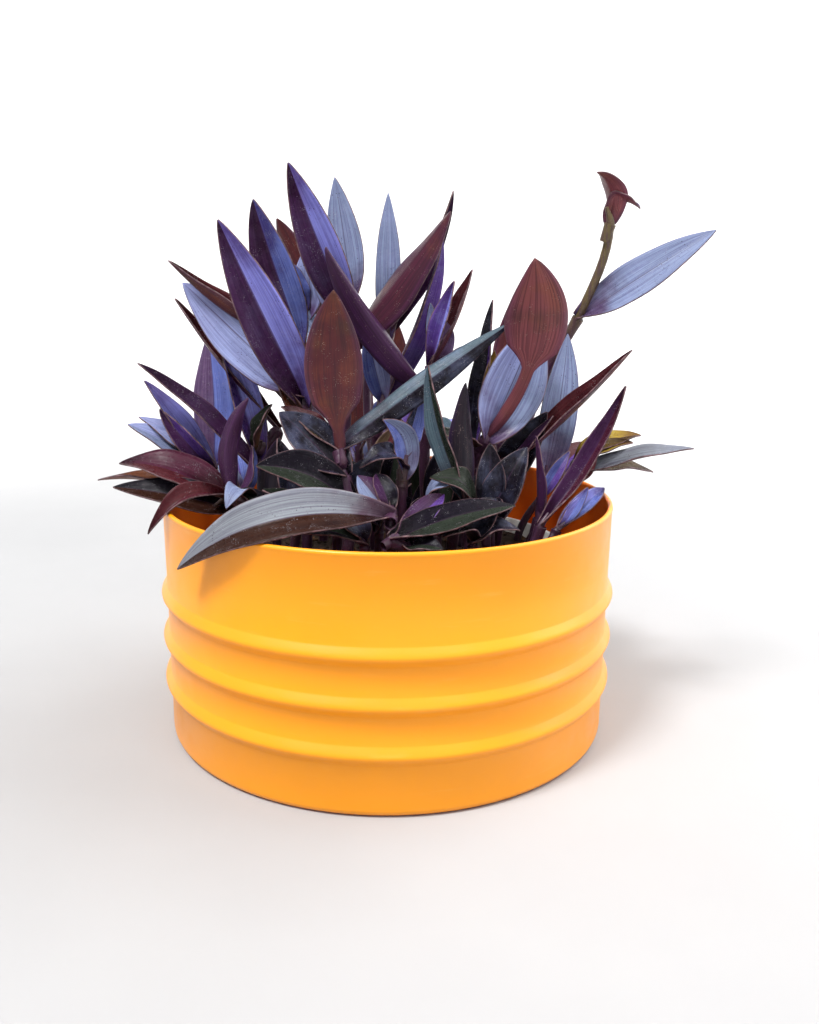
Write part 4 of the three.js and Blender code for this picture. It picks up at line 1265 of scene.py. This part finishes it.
class BuildMix(bpy.types.Operator):
    """Fills the grow pot with lumpy potting mix, with crumbs and bark chips on it"""

    bl_idname = "purple_heart.mix"
    bl_label = "Potting Mix"

    def execute(self, context):
        mix = context.scene.mix_settings
        rng = random.Random(11)
        top_radius = MIX_HIGH.x
        grow = context.scene.grow_pot_settings
        foot_radius = grow.floor_radius - grow.wall - MIX_GAP
        surface = [
            (top_radius * (1 - ring / MIX_RINGS), mix.top) for ring in range(MIX_RINGS + 1)
        ]
        profile = [(0, MIX_LOW.z), (foot_radius, MIX_LOW.z), *surface]
        bed = spun("mix_bed", profile, ROUND_STEPS)
        self.roughen(bed, mix, top_radius)
        bed.data.materials.append(peat(mix))
        smooth(bed, 60)
        deselect()
        bpy.ops.mesh.primitive_ico_sphere_add(subdivisions=1, radius=1)
        crumb = self.blank("crumb_blank", (1.15, 0.85, 0.75))
        deselect()
        bpy.ops.mesh.primitive_cube_add(size=2)
        chip = self.blank("chip_blank", (1, 0.5, 0.22), 0.16)
        crumbs = self.scattered(crumb, mix.crumbs, (0.5, 1.5), mix, top_radius, rng)
        chips = self.scattered(chip, mix.chips, (1.6, 3.6), mix, top_radius, rng)
        loose_crumbs = joined(crumbs, "loose_crumbs")
        loose_crumbs.data.materials.append(bed.data.materials[0])
        loose_chips = joined(chips, "loose_chips")
        loose_chips.data.materials.append(bark(mix))
        piece = joined([loose_crumbs, loose_chips, bed], "potting_bed")
        discard(crumb)
        discard(chip)
        place(piece, "potting_mix", "potting_mix")
        return {"FINISHED"}

    @staticmethod
    def lump(x, y, mix):
        """How far the surface rises or falls at a place."""
        slow = math.sin(x / MM * 0.11 + 1.3) * math.cos(y / MM * 0.09 - 0.4)
        quick = math.sin(x / MM * 0.53) * math.cos(y / MM * 0.47 + 1.1)
        return mix.lumps * (0.6 * slow + 0.25 * quick)

    def roughen(self, bed, mix, top_radius):
        """Raises the lumps, then breaks the surface up with cloudy displacement."""
        group = bed.vertex_groups.new(name="surface")
        for vertex in bed.data.vertices:
            out = math.hypot(vertex.co.x, vertex.co.y)
            if vertex.co.z > mix.top - 0.01 * MM and out < top_radius - 1 * MM:
                vertex.co.z += self.lump(vertex.co.x, vertex.co.y, mix)
                group.add([vertex.index], 1.0, "REPLACE")
        clods = bpy.data.textures.new("clods", "CLOUDS")
        clods.noise_scale = 5 * MM
        clods.noise_depth = 3
        finish_with(
            bed,
            "DISPLACE",
            texture=clods,
            texture_coords="LOCAL",
            strength=2.2 * MM,
            mid_level=0.6,
            vertex_group="surface",
        )

    @staticmethod
    def blank(name, size, bevel=0.0):
        """Squashes the body just added, and takes off its edges where a bevel is given."""
        made = fresh(name)
        bpy.ops.object.mode_set(mode="EDIT")
        bpy.ops.mesh.select_all(action="SELECT")
        bpy.ops.transform.resize(value=size)
        if bevel:
            bpy.ops.mesh.bevel(offset=bevel, segments=1)
        bpy.ops.object.mode_set(mode="OBJECT")
        return made

    def scattered(self, blank, count, sizes, mix, top_radius, rng):
        """Copies of a blank strewn over the surface, each turned and sized by seeded chance."""
        pieces = []
        for index in range(count):
            out = (top_radius - 5 * MM) * math.sqrt(rng.random())
            turn = rng.uniform(0, 2 * math.pi)
            x, y = out * math.cos(turn), out * math.sin(turn)
            size = rng.uniform(*sizes) * MM
            tilt = Euler((rng.uniform(-0.5, 0.5), rng.uniform(-0.5, 0.5), rng.uniform(0, 6.3)))
            height = mix.top + self.lump(x, y, mix) + 0.2 * size
            piece = copied(blank, f"{blank.name}_{index}")
            spot = Matrix.Translation((x, y, height))
            piece.data.transform(spot @ tilt.to_matrix().to_4x4() @ Matrix.Scale(size, 4))
            pieces.append(piece)
        return pieces


class BuildPlant(bpy.types.Operator):
    """Grows every leafy stem from the potting mix"""

    bl_idname = "purple_heart.plant"
    bl_label = "Leafy Stems"

    def execute(self, context):
        maker = PlantMaker(context.scene.plant_settings, context.scene.mix_settings.top)
        for node, (root, radius, rows) in STEMS.items():
            maker.leafy_stem(node, root, radius, rows)
        maker.clear()
        return {"FINISHED"}


class BuildStudio(bpy.types.Operator):
    """Sets the pale floor and wall, the soft lights and the camera"""

    bl_idname = "purple_heart.studio"
    bl_label = "Studio"

    def execute(self, context):
        studio = context.scene.studio_settings
        self.sweep(studio)
        self.lights(studio)
        self.surroundings(context.scene, studio)
        self.camera(context.scene, studio)
        context.scene.view_settings.view_transform = "Standard"
        return {"FINISHED"}

    @staticmethod
    def sweep(studio):
        """A round floor that curves up into a wall on every side."""
        wall = SWEEP_FLOOR + SWEEP_BEND
        rounded = arc((SWEEP_FLOOR, SWEEP_BEND), SWEEP_BEND, -90, 0, 24)
        flat = [(ring, 0) for ring in (0, *SWEEP_RINGS)]
        profile = [*flat, *rounded, (wall, SWEEP_HEIGHT)]
        made = spun("studio_sweep", profile, 96)
        bpy.ops.object.mode_set(mode="EDIT")
        bpy.ops.mesh.select_all(action="SELECT")
        bpy.ops.mesh.flip_normals()
        bpy.ops.object.mode_set(mode="OBJECT")
        made.data.materials.append(studio_paint(studio))
        smooth(made, 40)

    @staticmethod
    def lights(studio):
        """A key light far off to the upper left, and soft lamps overhead, in front, at the
        right and on the far wall."""
        bpy.ops.object.light_add(type="SUN", location=(-2, -0.5, 3))
        key = fresh("key_light")
        key.data.energy = studio.key
        key.data.angle = studio.key_width
        key.rotation_euler = Vector(studio.key_way).to_track_quat("-Z", "Y").to_euler()
        pot = (0, 0, 0.1)
        # Each lamp: its name, its place, what it faces, its two sizes in metres, its watts.
        lamps = [
            ("overhead_strip", (-0.15, -0.65, 1.2), pot, (2.2, 0.5), studio.overhead),
            ("front_fill", (0.3, -1.7, 0.5), pot, (1.4, 1.0), studio.fill),
            ("right_glow", (1.0, 0.3, 1.1), pot, (1.4, 1.4), studio.glow),
            ("wall_wash", (0, 1.4, 2.6), (0, 3.6, 0.2), (3.0, 0.6), studio.wash),
        ]
        for name, spot, target, size, power in lamps:
            bpy.ops.object.light_add(type="AREA", location=spot)
            lamp = fresh(name)
            lamp.data.shape = "RECTANGLE"
            lamp.data.size, lamp.data.size_y = size
            lamp.data.energy = power
            way = Vector(target) - Vector(spot)
            lamp.rotation_euler = way.to_track_quat("-Z", "Y").to_euler()

    @staticmethod
    def surroundings(scene, studio):
        world = bpy.data.worlds.new("white_surroundings")
        world.use_nodes = True
        tree = world.node_tree
        tree.nodes.clear()
        sky = tree.nodes.new("ShaderNodeBackground")
        sky.inputs["Color"].default_value = (1, 1, 1, 1)
        sky.inputs["Strength"].default_value = studio.sky
        output = tree.nodes.new("ShaderNodeOutputWorld")
        tree.links.new(sky.outputs["Background"], output.inputs["Surface"])
        scene.world = world

    @staticmethod
    def camera(scene, studio):
        bpy.ops.object.camera_add(location=studio.eye)
        camera = fresh("front_camera")
        camera.data.lens = studio.lens
        camera.data.sensor_width = 36
        camera.data.clip_start = 0.01
        look = Euler((math.pi / 2 - studio.pitch, 0, -studio.yaw)).to_matrix()
        lean = Matrix.Rotation(studio.roll, 3, "Z")
        camera.rotation_euler = (look @ lean).to_euler()
        scene.camera = camera


class PurpleHeartPanel(bpy.types.Panel):
    """Lists the pieces and the studio"""

    bl_idname = "VIEW3D_PT_purple_heart"
    bl_label = "Potted Purple Heart"
    bl_space_type = "VIEW_3D"
    bl_region_type = "UI"
    bl_category = "Purple Heart"

    def draw(self, context):
        for operator, settings in STEPS:
            box = self.layout.box()
            box.operator(operator.bl_idname)
            group = getattr(context.scene, settings)
            for name in group.bl_rna.properties.keys():
                if name not in ("rna_type", "name"):
                    box.prop(group, name)


SETTINGS = {
    "pot_settings": PotSettings,
    "grow_pot_settings": GrowPotSettings,
    "mix_settings": MixSettings,
    "plant_settings": PlantSettings,
    "studio_settings": StudioSettings,
}
STEPS = [
    (BuildPot, "pot_settings"),
    (BuildGrowPot, "grow_pot_settings"),
    (BuildMix, "mix_settings"),
    (BuildPlant, "plant_settings"),
    (BuildStudio, "studio_settings"),
]
CLASSES = [*SETTINGS.values(), *(operator for operator, _ in STEPS), PurpleHeartPanel]


def register():
    for each in CLASSES:
        bpy.utils.register_class(each)
    for name, group in SETTINGS.items():
        setattr(bpy.types.Scene, name, bpy.props.PointerProperty(type=group))


def unregister():
    for name in SETTINGS:
        delattr(bpy.types.Scene, name)
    for each in reversed(CLASSES):
        bpy.utils.unregister_class(each)


def main():
    register()
    bpy.ops.purple_heart.pot()
    bpy.ops.purple_heart.grow_pot()
    bpy.ops.purple_heart.mix()
    bpy.ops.purple_heart.plant()
    bpy.ops.purple_heart.studio()


if __name__ == "__main__":
    main()
